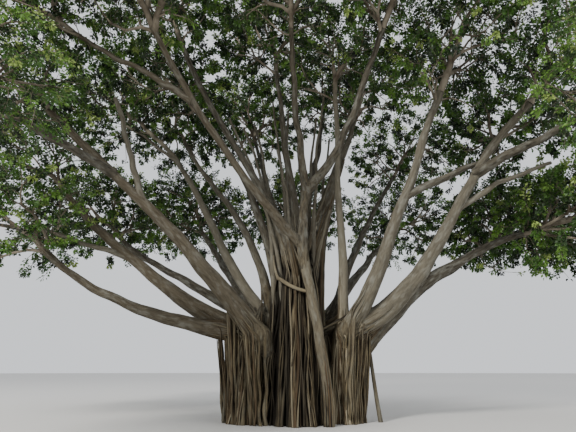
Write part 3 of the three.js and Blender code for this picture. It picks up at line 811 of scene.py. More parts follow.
def rootLine(cluster, root, draw):
    # Up the side of the cluster with small waves, then along the side of a bough.
    shares = np.linspace(0, root["top"] / cluster["height"], 11)
    low, high = rootRule["waves"]
    waves = (low + (high - low) * draw()) / cluster["halfWidth"]
    phase = 2 * math.pi * draw()
    pace = rootRule["pace"][0] + rootRule["pace"][1] * draw()
    drift = root["drift"] * shares / shares[-1]
    turns = root["turn"] + drift + waves * np.sin(phase + shares * cluster["height"] * pace)
    points = outlineAt(cluster, shares, turns, root["swell"])
    points[0, 2] = -belowGround
    host = hostFor(points[-1], np.array([cluster["x"], cluster["y"], root["top"]]))
    line = smoothLine(host["line"], 6)
    along = lengthsAlong(line)
    reach = rootRule["reach"][0] + rootRule["reach"][1] * draw()
    run = []
    for part in rootRule["runParts"]:
        distance = part * reach
        centre, ahead = pointsAt(np.array([distance, distance + 0.1]), along, line)
        aim = unit(ahead - centre)
        out = points[-1] - centre
        out = unit(out - aim * (out @ aim))
        hug = rootRule["hug"] - rootRule["sink"] * part
        run.append(centre + out * girthAt(host, distance / host["length"]) * hug)
    keep = points[points[:, 2] < run[0][2] - rootRule["joinGap"]]
    return np.vstack([keep, run])


def addTo(shape, part):
    mesh = meshFrom(part, "part")
    shape.from_mesh(mesh)
    bpy.data.meshes.remove(mesh)


def appendTube(shape, line, radii, sides):
    addTo(shape, sweepLimb(line, radii, sides))


def evenLine(line, spacing):
    along = lengthsAlong(line)
    return pointsAt(np.linspace(0, along[-1], max(3, int(along[-1] / spacing))), along, line)


def rootGirths(line, girth, rule, draw):
    # Thicker at the ground, knotted along the way and thin at the tip.
    share = np.linspace(0, 1, len(line))
    radii = girth * (1 + rule["flare"] * np.exp(-np.maximum(line[:, 2], 0) / rootRule["flareHeight"]))
    radii *= sum((size * np.sin(share * pace + 6 * draw()) for pace, size in rule["knots"]), 1)
    return radii * np.clip((1.02 - share) / 0.3, rule["tip"], 1)


def addRoot(shape, cluster, root, draw):
    line = pushOut(smoothLine(rootLine(cluster, root, draw), rootRule["smoothSteps"]))
    line[1:-1] = (line[:-2] + 2 * line[1:-1] + line[2:]) / 4
    line = evenLine(line, rootRule["ring"] * root["ring"])
    appendTube(shape, line, rootGirths(line, root["girth"], rootRule, draw), root["sides"])


footRoots = {"perGirth": 55, "girth": (0.016, 0.058), "turn": 125, "furthest": 1.5, "late": 0.55,
             "run": (0.5, 1.3), "inward": (0.04, 0.16), "lean": 0.6, "sway": 0.15, "flare": 0.3,
             "knots": ((17, 0.12),), "tip": 0.3, "runParts": (0, 0.4, 0.75, 1),
             "heights": (0.82, 0.6, 0.35, 0.15, 0), "hug": 0.82, "out": 0.2}


def clearOfClusters(point):
    # How far out a point lies: 1 at the outline of the nearest cluster.
    return min(math.hypot((point[0] - cluster["x"]) / cluster["halfWidth"],
                          (point[1] - cluster["y"]) / cluster["halfDepth"]) for cluster in clusters.values())


def footRoot(shape, limb, turn, girth, draw):
    # A root that runs down the side of a bough, lets go where it clears the trunk and hangs to the ground.
    line = smoothLine(limb["line"], fineSteps)
    along = lengthsAlong(line)
    aim = unit(line[3] - line[0])
    side = unit(np.cross(aim, up))
    out = side * math.sin(turn) + np.cross(aim, side) * math.cos(turn)

    def onLimb(distance, share):
        return pointsAt(distance, along, line) + out * girthAt(limb, distance / limb["length"]) * share

    tries = np.arange(0, footRoots["furthest"], 0.1)
    release = next((distance for distance in tries if clearOfClusters(onLimb(distance, 1)) > 1.0), None)
    if release is None:
        return
    late = footRoots["late"] * draw() ** 2
    release += late
    reach = release + footRoots["run"][0] + footRoots["run"][1] * draw()
    run = [onLimb(reach + (release - reach) * part, footRoots["hug"] + footRoots["out"] * part)
           for part in footRoots["runParts"]]
    top = run[-1]
    lean = footRoots["inward"][0] + footRoots["inward"][1] * draw() + footRoots["lean"] * late
    hang = []
    for share in footRoots["heights"]:
        sway = np.array([draw() - 0.5, draw() - 0.5]) * footRoots["sway"]
        hang.append(np.append(top[:2] + (unit(-top[:2]) * lean + sway) * (1 - share), top[2] * share))
    hang[-1][2] = -belowGround
    points = evenLine(smoothLine(np.vstack([run, hang])[::-1], 6), rootRule["ring"])
    appendTube(shape, points, rootGirths(points, girth, footRoots, draw), rootRule["sides"])


coats = {"thinness": 2.2, "drift": 0.22, "backSwell": 0.83, "backRing": 1.8, "thinGirth": (0.013, 0.02),
         "thinDrift": 1.1, "thinRing": 1.3, "darkness": 1.3}


def growRoots(cluster, seed, shape, counts):
    # Three coats: roots set back, which the painted shade darkens, the main roots, and thin ones that wander
    # over them.
    draw = seededDraw(seed)
    low, high = cluster["girth"]
    first, last = cluster["top"]
    width = (cluster["halfWidth"] + cluster["halfDepth"]) / 2
    for coat, part in (("back", 1), ("main", 1), ("thin", 2)):
        many = cluster["roots"] // part
        for k in range(many):
            girth = low + (high - low) * draw() ** coats["thinness"]
            root = {"turn": 2 * math.pi * (k + 0.25 + 0.5 * draw()) / many,
                    "top": first + (last - first) * draw(), "girth": girth, "swell": 1 - girth / width,
                    "drift": coats["drift"] * (draw() - 0.5), "sides": rootRule["sides"], "ring": 1.0}
            if coat == "back":
                root.update(turn=root["turn"] + math.pi / many, swell=coats["backSwell"] - girth / width,
                            sides=rootRule["thinSides"], ring=coats["backRing"])
            if coat == "thin":
                root.update(girth=coats["thinGirth"][0] + coats["thinGirth"][1] * draw(),
                            swell=1.0 + 0.02 * draw(), drift=coats["thinDrift"] * (draw() - 0.5),
                            sides=rootRule["thinSides"], ring=coats["thinRing"])
            before = len(shape.verts)
            addRoot(shape, cluster, root, draw)
            counts.append((before, draw() ** coats["darkness"]))
    low, high = footRoots["girth"]
    for host in cluster["hosts"]:
        many = footRoots["perGirth"] * boughs[host]["girth"][0]
        for k in range(int(many)):
            before = len(shape.verts)
            turn = math.radians(footRoots["turn"]) * (2 * (k + draw()) / many - 1)
            footRoot(shape, boughs[host], turn, low + (high - low) * draw() ** 1.6, draw)
            if len(shape.verts) > before:
                counts.append((before, 0.1 + 0.55 * draw()))


# How the painted shade between the roots of the trunk is laid.
shadeRule = {"depth": 0.17, "facing": 0.74, "facingWidth": 0.62, "top": 0.9, "topFade": 0.15,
             "limbFrom": 0.62, "limbOver": 0.3}


def setBack(points, names):
    # How far a point lies behind the roots' outer face: 0 at the face, rising to 1 in the hollows. It sets
    # painted shade that darkens the hollows.
    depth = np.full(len(points), 1.0)
    for name in names:
        cluster = clusters[name]
        x, y, share = fromMiddle(points, cluster)
        size = sizeAt(share)
        within = 1 - np.hypot(x / (cluster["halfWidth"] * size), y / (cluster["halfDepth"] * size))
        hidden = np.clip(within / shadeRule["depth"], 0, 1)
        depth = np.minimum(depth, np.where(share < clusterReach, hidden, 0))
    return depth


def turnedAway(points, normals, names):
    # 1 where a root's side faces its neighbour, 0 where it faces outward from the trunk. It sets painted
    # shade on the roots' sides, as if light fell only from outside.
    away = np.ones(len(points))
    for name in names:
        cluster = clusters[name]
        x, y, share = fromMiddle(points, cluster)
        x = x / cluster["halfWidth"] ** 2
        y = y / cluster["halfDepth"] ** 2
        facing = (normals[:, 0] * x + normals[:, 1] * y) / np.maximum(np.hypot(x, y), 1e-6)
        low = np.clip((shadeRule["top"] - share) / shadeRule["topFade"], 0, 1)
        aside = np.clip((shadeRule["facing"] - facing) / shadeRule["facingWidth"], 0, 1)
        away = np.minimum(away, aside * low)
    return away


def overTop(points, names):
    # Rises from 0 to 1 where the wood leaves its cluster and turns into limbs.
    tallest = max(clusters[name]["height"] for name in names)
    return np.clip((points[:, 2] / tallest - shadeRule["limbFrom"]) / shadeRule["limbOver"], 0, 1)


outward = [1, 1, 0]      # bark on the trunk moves outward, and never up or down
rootRelief = {"lump": 0.012, "scale": [9, 9, 1.8], "toneStep": 40, "grainStep": [17.3, 9.1, 5.0],
              "limb": 0.75}
bodyRelief = {"lump": 0.020, "scale": [3.5, 3.5, 1.2], "ridge": 0.009, "ridgeScale": [14, 14, 2.5]}
bodyLook = {"sides": 20, "voxel": 0.04, "smooth": 4, "nearLimb": 1.6, "tone": 0.36, "toneSpread": 0.1,
            "toneScale": 0.9, "cavity": 30, "heelLimb": 0.65, "topLimb": 0.9}


def addTrunkPiece(mesh):
    print(mesh.name, "triangles", sum(len(face.vertices) - 2 for face in mesh.polygons))
    addPiece(mesh.name, mesh, bark, ["trunk"])


def makeRootsPiece(name, clusterNames, seed, extras=()):
    shape = bmesh.new()
    shape.verts.layers.float_vector.new("grain")
    marks = []
    for index, clusterName in enumerate(clusterNames):
        growRoots(clusters[clusterName], seed + index, shape, marks)
    for tone, line, radii, sides in extras:
        marks.append((len(shape.verts), tone))
        appendTube(shape, line, radii, sides)
    toneLayer = shape.verts.layers.float.new("tone")
    shape.verts.ensure_lookup_table()
    ends = [start for start, tone in marks[1:]] + [len(shape.verts)]
    for (start, tone), end in zip(marks, ends):
        for index in range(start, end):
            shape.verts[index][toneLayer] = tone
    cutAtGround(shape)
    mesh = meshFrom(shape, name)
    points = vertexArray(mesh)
    normals = vertexArray(mesh, "normal")
    tones = readValues(mesh, "tone", "value", 1)
    places = points * rootRelief["scale"] + tones * rootRelief["toneStep"]
    move = rootRelief["lump"] * lumps(places, seed) * aboveGround(points)
    shift(mesh, points, normals * move[:, None] * outward)
    setAttribute(mesh, "grain", readValues(mesh, "grain", "vector", 3) + tones * rootRelief["grainStep"])
    # Painted shade: roots darken where they lie behind the outer face or turn their sides to a neighbour.
    shade = np.maximum(setBack(points, clusterNames), turnedAway(points, normals, clusterNames))
    setAttribute(mesh, "cleftShade", 0.5 + 0.5 * shade)
    setAttribute(mesh, "limb", rootRelief["limb"] * overTop(points, clusterNames))
    addTrunkPiece(mesh)


def clusterCore(shape, cluster):
    # The wood inside the roots: a column that keeps just within them.
    turns = np.linspace(0, 2 * math.pi, 36, endpoint=False)
    column = bmesh.new()
    ring = bmesh.ops.create_circle(column, cap_ends=True, radius=1, segments=len(turns))["verts"]
    face = ring[0].link_faces[0]
    for share in np.linspace(0, rootRule["coreTop"], 14):
        places = outlineAt(cluster, share, turns, rootRule["core"])
        if share == 0:
            places[:, 2] -= belowGround
        else:
            grown = bmesh.ops.extrude_face_region(column, geom=[face, *face.edges])["geom"]
            face = next(item for item in grown if isinstance(item, bmesh.types.BMFace))
        for loop, place in zip(face.loops, places):
            loop.vert.co = place
    bmesh.ops.recalc_face_normals(column, faces=column.faces)
    addTo(shape, column)


def fuse(shape, name):
    # One skin round everything.
    mesh = meshFrom(shape, name + "_parts")
    holder = bpy.data.objects.new(name + "_parts", mesh)
    scene.collection.objects.link(holder)
    remesh = holder.modifiers.new("fuse", "REMESH")
    remesh.mode = "VOXEL"
    remesh.voxel_size = bodyLook["voxel"]
    smooth = holder.modifiers.new("smooth", "SMOOTH")
    smooth.factor = 0.5
    smooth.iterations = bodyLook["smooth"]
    fused = bpy.data.meshes.new_from_object(holder.evaluated_get(bpy.context.evaluated_depsgraph_get()))
    bpy.data.objects.remove(holder)
    bpy.data.meshes.remove(mesh)
    skin = bmesh.new()
    skin.from_mesh(fused)
    bpy.data.meshes.remove(fused)
    cutAtGround(skin)
    return meshFrom(skin, name)


sheath = {"girth": 0.78, "swell": 0.3}


def forkSheath():
    # The swelling where the front stem forks.
    below = smoothLine(trunkStems["front"]["line"], 8)[-13:-2]
    above = smoothLine(trunkStems["crown"]["line"], 8)[6:26:2]
    line = np.vstack([below, above])
    swell = sheath["girth"] + sheath["swell"] * np.sin(np.pi * np.linspace(0, 1, len(line)))
    return line, trunkStems["front"]["girth"][1] * swell


def makeBody(name, clusterNames, stems, limbs, seed):
    # The fused wood under the roots, with the smooth stems and the boughs' feet.
    shape = bmesh.new()
    for clusterName in clusterNames:
        clusterCore(shape, clusters[clusterName])
    lines = []
    for stemName in stems:
        line = smoothLine(trunkStems[stemName]["line"], 8)
        lines.append((line, girthAt(trunkStems[stemName], np.linspace(0, 1, len(line)))))
    lines += [heelLine(limb) for limb in limbs]
    if "centre" in clusterNames:
        lines.append(forkSheath())
    for line, radii in lines:
        appendTube(shape, line, radii, bodyLook["sides"])
    mesh = fuse(shape, name)
    points = vertexArray(mesh)
    normals = vertexArray(mesh, "normal")
    move = bodyRelief["lump"] * lumps(points * bodyRelief["scale"], seed)
    move += bodyRelief["ridge"] * lumps(points * bodyRelief["ridgeScale"], seed + 1)
    move *= aboveGround(points)
    shift(mesh, points, normals * move[:, None] * outward)
    onLimb = np.zeros(len(points))
    for line, radii in lines:
        near = distanceTo(line, points)
        onLimb = np.maximum(onLimb, np.clip(bodyLook["nearLimb"] - near / max(radii), 0, 1))
    patches = lumps(points * bodyLook["toneScale"], seed + 2)
    setAttribute(mesh, "tone", bodyLook["tone"] + bodyLook["toneSpread"] * patches)
    # Painted shade: darker in the hollows of the skin and, away from the limbs, behind the roots' outer face.
    hollow = cavityOf(mesh, bodyLook["cavity"], 3)
    shade = 0.5 + 0.5 * setBack(points, clusterNames) * (1 - onLimb)
    setAttribute(mesh, "cleftShade", np.maximum(hollow, shade))
    setAttribute(mesh, "grain", points)
    top = overTop(points, clusterNames) * bodyLook["topLimb"]
    setAttribute(mesh, "limb", np.maximum(onLimb * bodyLook["heelLimb"], top))
    addTrunkPiece(mesh)


for cluster, lobes in zip(clusters.values(), (13, 7, 8, 9, 10)):
    cluster["lobes"] = lobes


centreFeet = {"height": 3.9, "side": 0.5}


def sideOf(bough):
    # The part of the trunk that a bough grows from: the middle for those that start high or near it.
    x, _, z = bough["start"]
    if z > centreFeet["height"] or abs(x) < centreFeet["side"]:
        return "centre"
    return "left" if x < 0 else "right"


feet = {"left": [], "centre": [], "right": []}
for bough in boughs.values():
    if "on" not in bough:
        feet[sideOf(bough)].append(bough)
heels = [heelLine(bough) for group in feet.values() for bough in group]


bundleRule = {"twist": 0.9, "out": (0.95, 0.8), "sides": 8}


def stemBundle(line, girths, many, seed, thick, ends):
    # Strands fused side by side that climb a stem and thin out along it.
    strands = []
    draw = seededDraw(seed)
    aims = unit(np.gradient(line, axis=0))
    side = unit(np.cross(aims, [0, 1, 0]))
    other = np.cross(aims, side)
    out = girths * np.linspace(*bundleRule["out"], len(line))
    for k in range(many):
        start = 2 * math.pi * (k + 0.5 * draw()) / many
        turn = start + np.linspace(0, bundleRule["twist"] * (draw() - 0.5), len(line))[:, None]
        strand = line + (side * np.cos(turn) + other * np.sin(turn)) * out[:, None]
        size = thick[0] + (thick[1] - thick[0]) * draw()
        tone = draw() ** coats["darkness"]
        strands.append((tone, strand, girths * size * np.linspace(1, ends, len(line)), bundleRule["sides"]))
    return strands


flutedLook = {"girth": [0.42, 0.34, 0.2], "at": [0, 0.5, 1], "thick": (0.26, 0.42), "end": 0.55}
frontLook = {"girth": (0.15, 0.155), "top": 0.62, "thick": (0.18, 0.42), "end": 0.25}
hookLook = {"girth": [0.03, 0.075, 0.068], "at": [0, 0.25, 1], "tone": 0.62, "sides": 14,
            "head": [[-0.72, -0.35, 5.9], [-0.70, -0.72, 5.35]]}


def girthsAlong(line, look):
    return np.interp(np.linspace(0, 1, len(line)), look["at"], look["girth"])


fluted = smoothLine(np.vstack([trunkStems["fluted"]["line"], boughs["fluted_right"]["line"][1:5]]), 6)
front = smoothLine(trunkStems["front"]["line"], 8)
front = np.vstack([front[0] - [0, 0, belowGround], front[:int(len(front) * frontLook["top"])]])
frontGirths = np.linspace(*frontLook["girth"], len(front))
bundles = stemBundle(fluted, girthsAlong(fluted, flutedLook), 9, 77, flutedLook["thick"], flutedLook["end"])
bundles += stemBundle(front, frontGirths, 9, 78, frontLook["thick"], frontLook["end"])
hook = smoothLine(np.vstack([hookLook["head"], trunkStems["hook"]["line"]]), 4)
hookRoot = (hookLook["tone"], hook, girthsAlong(hook, hookLook), hookLook["sides"])
makeBody("trunk_left", ["left", "rear_left"], [], feet["left"], 201)
makeBody("trunk_centre", ["centre"], ["fluted"], feet["centre"], 301)
makeBody("trunk_right", ["right", "rear_right"], [], feet["right"], 401)
makeRootsPiece("roots_left", ["left", "rear_left"], 211)
makeRootsPiece("roots_centre", ["centre"], 311, [hookRoot] + bundles)
makeRootsPiece("roots_right", ["right", "rear_right"], 411)


propLook = {"sides": 12, "tone": 0.38, "limb": 0.5, "below": 0.1}


def makeProp(name, prop):
    prop["line"] = limbLine(prop, np.array(prop["start"], dtype=float), 4)
    line = smoothLine(prop["line"], fineSteps)
    radii = girthAt(prop, np.linspace(0, 1, len(line)))
    line = np.vstack([line[0] - [0, 0, propLook["below"]], line])
    shape = sweepLimb(line, np.append(radii[0], radii), propLook["sides"])
    cutAtGround(shape)
    mesh = meshFrom(shape, name)
    setAttribute(mesh, "tone", np.full(len(mesh.vertices), propLook["tone"]))
    # Painted shade in the prop's hollows and a painted highlight on its ridges, from its curvature.
    setAttribute(mesh, "cleftShade", cavityOf(mesh, boughShape["cavity"], 1))
    setAttribute(mesh, "limb", np.full(len(mesh.vertices), propLook["limb"]))
    addPiece(name, mesh, bark, [name])


for name, prop in propRoots.items():
    makeProp(name, prop)
print("trunk made")


# Foliage

twigRule = {"aims": 5, "aimSteps": (0.7548776662, 0.5698402910), "lowestAim": -0.7,
            "reaches": (0.7, 0.55, 0.4), "runCost": 0.35, "gap": 0.0003, "spaceMargin": 0.04}
fineRule = {"steps": (0.8191725134, 0.6710436067, 0.5497004779), "spacing": 0.46, "sprays": 20500,
            "bendCost": 0.45, "tipGirth": 0.0065, "thickening": 0.5, "lowest": -0.85, "inner": 0.30,
            "outer": 0.97, "depthPower": 0.6, "woodMargin": 0.12, "limbShare": 0.45, "limbRun": 0.6,
            "thick": 0.022, "wave": 0.05, "rise": 0.05, "leaderBend": 0.3, "bend": 0.22, "nearest": 0.12,
            "tries": 12, "footSwell": 1.25, "tipShare": 0.97, "thickSides": 6, "thinSides": 3}


def woodSamples():
    places, radii = [], []
    for limb in [*boughs.values(), *propRoots.values()]:
        line = smoothLine(limb["line"], 6)
        places.append(line)
        radii.append(girthAt(limb, np.linspace(0, 1, len(line))))
    return np.vstack(places), np.concatenate(radii)


woodAt, woodGirth = woodSamples()
middles = np.array([bough["middle"] for bough in boughs.values()])


def insideSpace(points, bough):
    # Each mass keeps to its own ellipsoid, and to its own side of the plane halfway to each neighbour.
    away = points - bough["middle"]
    inside = np.linalg.norm(away / bough["reach"], axis=1) <= 1
    others = middles[np.any(middles != bough["middle"], axis=1)] - bough["middle"]
    apart = np.linalg.norm(others, axis=1)
    return inside & np.all(away @ (others / apart[:, None]).T < apart / 2 - twigRule["spaceMargin"], axis=1)


def clearOfWood(point):
    return np.all(np.linalg.norm(point - woodAt, axis=1) > woodGirth + fineRule["woodMargin"])


def ballPoint(height, turn):
    # A direction from a height between -1 and 1 and a share of a full turn.
    out = math.sqrt(max(0, 1 - height * height))
    return np.array([math.cos(2 * math.pi * turn) * out, math.sin(2 * math.pi * turn) * out, height])


class Skeleton:
    # Twigs as points that each know the one before.
    def __init__(self):
        self.at, self.before, self.run, self.aim, self.chains = [], [], [], [], []

    def add(self, point, before, run, aim):
        self.at.append(point)
        self.before.append(before)
        self.run.append(run)
        self.aim.append(aim)
        return len(self.at) - 1

    def addTwig(self, start, end, bend):
        # Leaves along the way the wood was going, then swings to its aim.
        origin = self.at[start]
        length = float(np.linalg.norm(end - origin))
        rise = up * fineRule["rise"] * length
        control = origin + self.aim[start] * length * bend + (end - origin) * (0.5 - bend) + rise
        steps = max(2, int(round(length / fineRule["spacing"])))
        side = unit(np.cross(end - origin, self.aim[start]) + 1e-6)
        chain = [start]
        for i in range(1, steps + 1):
            t = i / steps
            point = origin * (1 - t) ** 2 + control * 2 * t * (1 - t) + end * t ** 2
            wave = math.sin(2 * math.pi * t) * math.sin(math.pi * t)
            point = point + side * fineRule["wave"] * length * wave
            aim = unit(point - self.at[chain[-1]])
            chain.append(self.add(point, chain[-1], self.run[start] + length * t, aim))
        self.chains.append(chain)


def mainAims(bough, heightStart, turnStart):
    ends = []
    for k in range(twigRule["aims"]):
        height = 1 + (twigRule["lowestAim"] - 1) * ((heightStart + k * twigRule["aimSteps"][0]) % 1)
        offset = ballPoint(height, (turnStart + k * twigRule["aimSteps"][1]) % 1) * bough["reach"]
        tries = [bough["middle"] + offset * share for share in twigRule["reaches"]]
        ends += [point for point in tries if insideSpace(point[None], bough)[0]][:1]
    return ends


def fineAims(bough, count, starts):
    # Evenly spread ends for the twigs, denser towards the outside of the mass.
    ends = []
    for k in range(count * fineRule["tries"]):
        high, turn, depth = [(start + k * step) % 1 for start, step in zip(starts, fineRule["steps"])]
        height = 1 + (fineRule["lowest"] - 1) * high
        share = fineRule["inner"] + (fineRule["outer"] - fineRule["inner"]) * depth ** fineRule["depthPower"]
        point = bough["middle"] + ballPoint(height, turn) * bough["reach"] * share
        if insideSpace(point[None], bough)[0] and clearOfWood(point):
            ends.append(point)
        if len(ends) == count:
            break
    return ends


def growTwigs(bough, count):
    draw = seededDraw(bough["seed"])
    main = mainAims(bough, draw(), draw())
    bones = Skeleton()
    # The outer part of the bough can fork too.
    line = bough["fine"]
    for i in range(int(len(line) * fineRule["limbShare"]), len(line) - 2, 4):
        aim = unit(line[i + 1] - line[i - 1])
        remaining = (len(line) - 1 - i) / len(line) * bough["length"]
        bones.add(line[i], -1, remaining * fineRule["limbRun"], aim)
    rootNode = bones.add(bough["tip"] + bough["aim"] * twigRule["gap"], -1, 0.0, bough["aim"])
    bones.addTwig(rootNode, bough["middle"], fineRule["leaderBend"])
    for end in main + fineAims(bough, count, [draw(), draw(), draw()]):
        toEnd = end - np.array(bones.at)
        distance = np.linalg.norm(toEnd, axis=1)
        bend = 1 - (toEnd * np.array(bones.aim)).sum(1) / np.maximum(distance, 1e-6)
        cost = distance * (1 + fineRule["bendCost"] * bend) + twigRule["runCost"] * np.array(bones.run)
        cost[rootNode] = math.inf
        start = int(np.argmin(cost))
        if distance[start] >= fineRule["nearest"]:
            bones.addTwig(start, end, fineRule["bend"])
    return bones


def twigGirths(bones, bough):
    # A twig is as thick as the number of tips that it carries asks for.
    load = np.zeros(len(bones.at))
    for chain in bones.chains:
        load[chain[-1]] += 1
    for i in range(len(load) - 1, -1, -1):
        if bones.before[i] >= 0:
            load[bones.before[i]] += load[i]
    girth = fineRule["tipGirth"] * np.maximum(load, 1) ** fineRule["thickening"]
    return np.minimum(girth, bough["girth"][1] * fineRule["tipShare"])


def tubesFromChains(chains, girths, at, sides):
    # Thin twigs with few sides, whose ends lie inside the wood or among the leaves.
    verts, faces, offset = [], [], 0
    byLength = {}
    for chain in chains:
        byLength.setdefault(len(chain), []).append(chain)
    turns = 2 * math.pi * np.arange(sides) / sides
    for count, group in byLength.items():
        index = np.array(group)
        points = at[index]
        radii = girths[index].copy()
        radii[:, 0] = np.minimum(radii[:, 0], radii[:, 1] * fineRule["footSwell"])
        aims = np.empty_like(points)
        aims[:, 1:-1] = points[:, 2:] - points[:, :-2]
        aims[:, 0] = points[:, 1] - points[:, 0]
        aims[:, -1] = points[:, -1] - points[:, -2]
        aims = unit(aims)
        side = unit(np.cross(aims, [0.31, 0.17, 0.935]))
        other = np.cross(aims, side)
        ring = side[:, :, None] * np.cos(turns)[:, None] + other[:, :, None] * np.sin(turns)[:, None]
        rings = points[:, :, None] + ring * radii[:, :, None, None]
        verts.append(rings.reshape(-1, 3))
        base = offset + np.arange(len(group))[:, None, None] * count * sides
        step = np.arange(count - 1)[None, :, None] * sides
        k = np.arange(sides)[None, None]
        k2 = (k + 1) % sides
        first = base + step
        quads = np.stack([first + k, first + k2, first + sides + k2, first + sides + k], -1)
        faces.append(quads.reshape(-1, 4))
        offset += len(group) * count * sides
    return np.vstack(verts), np.vstack(faces)


def meshFromFaces(name, verts, faces):
    mesh = bpy.data.meshes.new(name)
    mesh.vertices.add(len(verts))
    mesh.vertices.foreach_set("co", np.ascontiguousarray(verts, dtype=np.float32).ravel())
    mesh.loops.add(faces.size)
    mesh.loops.foreach_set("vertex_index", np.ascontiguousarray(faces, dtype=np.int32).ravel())
    mesh.polygons.add(len(faces))
    mesh.polygons.foreach_set("loop_start", np.arange(0, faces.size, faces.shape[1], dtype=np.int32))
    mesh.update(calc_edges=True)
    return mesh


def leafPlaces(chains, at):
    # Where leaves stand along the outer part of each twig, that twig's direction and its number.
    count = leafRule["perTwig"]
    bases, aims = [], []
    for chain in chains:
        points = at[chain]
        along = lengthsAlong(points)
        span = min(along[-1] * leafRule["spanShare"], leafRule["span"])
        places = along[-1] - span * (np.arange(count) / count) ** leafRule["crowding"]
        bases.append(pointsAt(places, along, points))
        aims.append(np.repeat(unit(points[-1] - points[-2])[None], count, 0))
    return np.vstack(bases), np.vstack(aims), np.repeat(np.arange(len(chains)), count)


def leavesOn(chains, at, thickAt, bough):
    # Leaves stand out round each twig by the golden angle, lean towards its tip and droop.
    random = np.random.default_rng(bough["seed"])
    bases, aims, twigs = leafPlaces(chains, at)
    leafy = distanceTo(thickAt, bases) > leafRule["bare"]        # the thicker branches stay bare
    bases, aims, twigs = bases[leafy], aims[leafy], twigs[leafy]
    total = len(bases)
    side = unit(np.cross(aims, [0.05, 0.02, 0.998]) + 1e-6)
    rise = np.cross(side, aims)
    turn = goldenAngle * np.arange(total) + random.uniform(-leafRule["turn"], leafRule["turn"], total)
    lean = np.radians(random.uniform(*leafRule["lean"], total))
    out = unit(side * np.cos(turn)[:, None] + rise * np.sin(turn)[:, None] * leafRule["flat"])
    bases = bases + out * random.uniform(0, leafRule["stalk"], (total, 1))
    droop = random.uniform(0.0, 2 * leafRule["droop"], total)
    aim = unit(aims * np.cos(lean)[:, None] + out * np.sin(lean)[:, None] - up * droop[:, None])
    facing = unit(up * leafRule["level"] + random.normal(0, leafRule["tilt"], (total, 3)))
    across = unit(np.cross(facing, aim))
    facing = np.cross(aim, across)
    length = bough["leaf"] * random.uniform(*leafRule["lengths"], total)[:, None]
    half = length * leafRule["width"] / 2
    widest = bases + aim * length * leafRule["widest"] + facing * half * leafRule["fold"]
    tips = bases + aim * length - facing * length * leafRule["tipDrop"]
    corners = np.stack([bases, widest + across * half, tips, widest - across * half], 1)
    start = np.arange(total)[:, None] * 4
    halves = np.stack([start + [0, 2, 1], start + [0, 3, 2]], 1).reshape(-1, 3)
    return corners.reshape(-1, 3), halves, twigs


def spaceShare(bough):
    # The room that a mass has to itself.
    random = np.random.default_rng(5)
    ball = unit(random.normal(size=(3000, 3))) * random.uniform(0, 1, (3000, 1)) ** (1 / 3)
    return insideSpace(bough["middle"] + ball * bough["reach"], bough).mean() * np.prod(bough["reach"])


sprayLightAndTone = {"base": 0.72, "outer": 1.5, "high": 0.45, "spread": 1.1}


def sprayColours(tips, bough):
    # One colour for each spray, with painted light: brighter towards the outside and the top of the mass and
    # darker inside, plus a random spread of tone.
    random = np.random.default_rng(1000 + bough["seed"])
    outer = np.linalg.norm((tips - bough["middle"]) / bough["reach"], axis=1)
    height = (tips[:, 2] - bough["middle"][2]) / bough["depth"]
    # Painted light: sprays are lighter further out and higher up in the mass.
    paintedLight = sprayLightAndTone["base"] + sprayLightAndTone["outer"] * outer + sprayLightAndTone["high"] * height
    spread = random.normal(0, sprayLightAndTone["spread"], len(tips))
    return np.clip(np.round(paintedLight + spread), 0, len(leafMaterials) - 1).astype(np.int32)


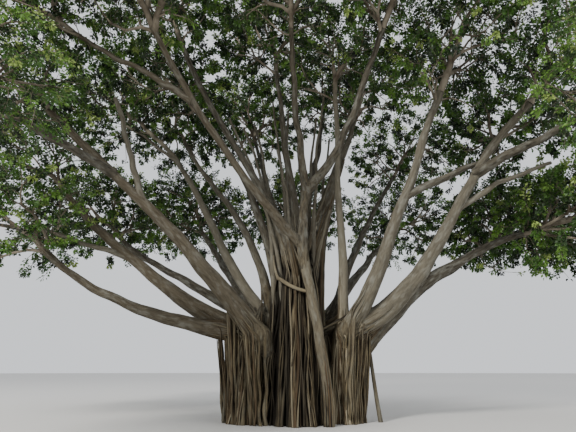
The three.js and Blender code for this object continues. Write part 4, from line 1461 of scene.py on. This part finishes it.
def makeMass(name, bough, count):
    bones = growTwigs(bough, count)
    at = np.array(bones.at)
    girths = twigGirths(bones, bough)
    thick = [chain for chain in bones.chains if girths[chain[1]] > fineRule["thick"]]
    thin = [chain for chain in bones.chains if girths[chain[1]] <= fineRule["thick"]]
    thickVerts, thickFaces = tubesFromChains(thick, girths, at, fineRule["thickSides"])
    thinVerts, thinFaces = tubesFromChains(thin, girths, at, fineRule["thinSides"])
    verts = np.vstack([thickVerts, thinVerts])
    faces = np.vstack([thickFaces, thinFaces + len(thickVerts)])
    nodes = ["foliage_" + name]
    addPiece("twigs_" + name, meshFromFaces("twigs_" + name, verts, faces), twigBark, nodes)
    thickAt = np.vstack([at[chain] for chain in thick] + [bough["fine"][-40::4]])
    leafVerts, leafHalves, twigs = leavesOn(thin, at, thickAt, bough)
    mesh = meshFromFaces("leaves_" + name, leafVerts, leafHalves)
    addPiece("leaves_" + name, mesh, None, nodes)
    for material in leafMaterials:
        mesh.materials.append(material)
    colours = sprayColours(np.array([at[chain[-1]] for chain in thin]), bough)
    mesh.polygons.foreach_set("material_index", np.repeat(colours[twigs], 2))
    return len(leafHalves), len(faces) * 2


shares = [(spaceShare(bough) * bough["fill"]) ** 0.85 / bough["leaf"] ** 2 for bough in boughs.values()]
leafTriangles = twigTriangles = 0
for (name, bough), share in zip(boughs.items(), shares):
    leafCount, twigCount = makeMass(name, bough, int(fineRule["sprays"] * share / sum(shares)))
    leafTriangles += leafCount
    twigTriangles += twigCount
print("foliage made: leaf triangles", leafTriangles, "twig triangles", twigTriangles)


# Floor and light

def addFloor():
    shape = bmesh.new()
    bmesh.ops.create_circle(shape, cap_ends=True, radius=400, segments=96)
    mesh = meshFrom(shape, "floor")
    floor = bpy.data.objects.new("floor", mesh)
    floor.location = (0, 0, -0.002)
    scene.collection.objects.link(floor)
    material, _, _, shader = newMaterial("pale_floor")
    shader.inputs["Base Color"].default_value = (0.62, 0.61, 0.59, 1)
    shader.inputs["Roughness"].default_value = 0.95
    mesh.materials.append(material)


def addLight(name, place, aim, size, energy, colour=(1, 1, 1)):
    data = bpy.data.lights.new(name, "AREA")
    data.shape = "DISK"
    data.size = size
    data.energy = energy
    data.color = colour
    light = bpy.data.objects.new(name, data)
    light.location = place
    light.rotation_euler = (Vector(aim) - Vector(place)).to_track_quat("-Z", "Y").to_euler()
    scene.collection.objects.link(light)


def addWorld():
    world = bpy.data.worlds.new("studio")
    world.use_nodes = True
    shade = world.node_tree.nodes["Background"]
    shade.inputs["Color"].default_value = (0.93, 0.96, 1.0, 1)
    shade.inputs["Strength"].default_value = 1.02
    scene.world = world


addFloor()
addWorld()
addLight("key", (-30, -42, 34), (0, 0, 6), 13, 43000, (1.0, 0.97, 0.91))
addLight("fill", (38, -30, 22), (0, 0, 7), 26, 10000)
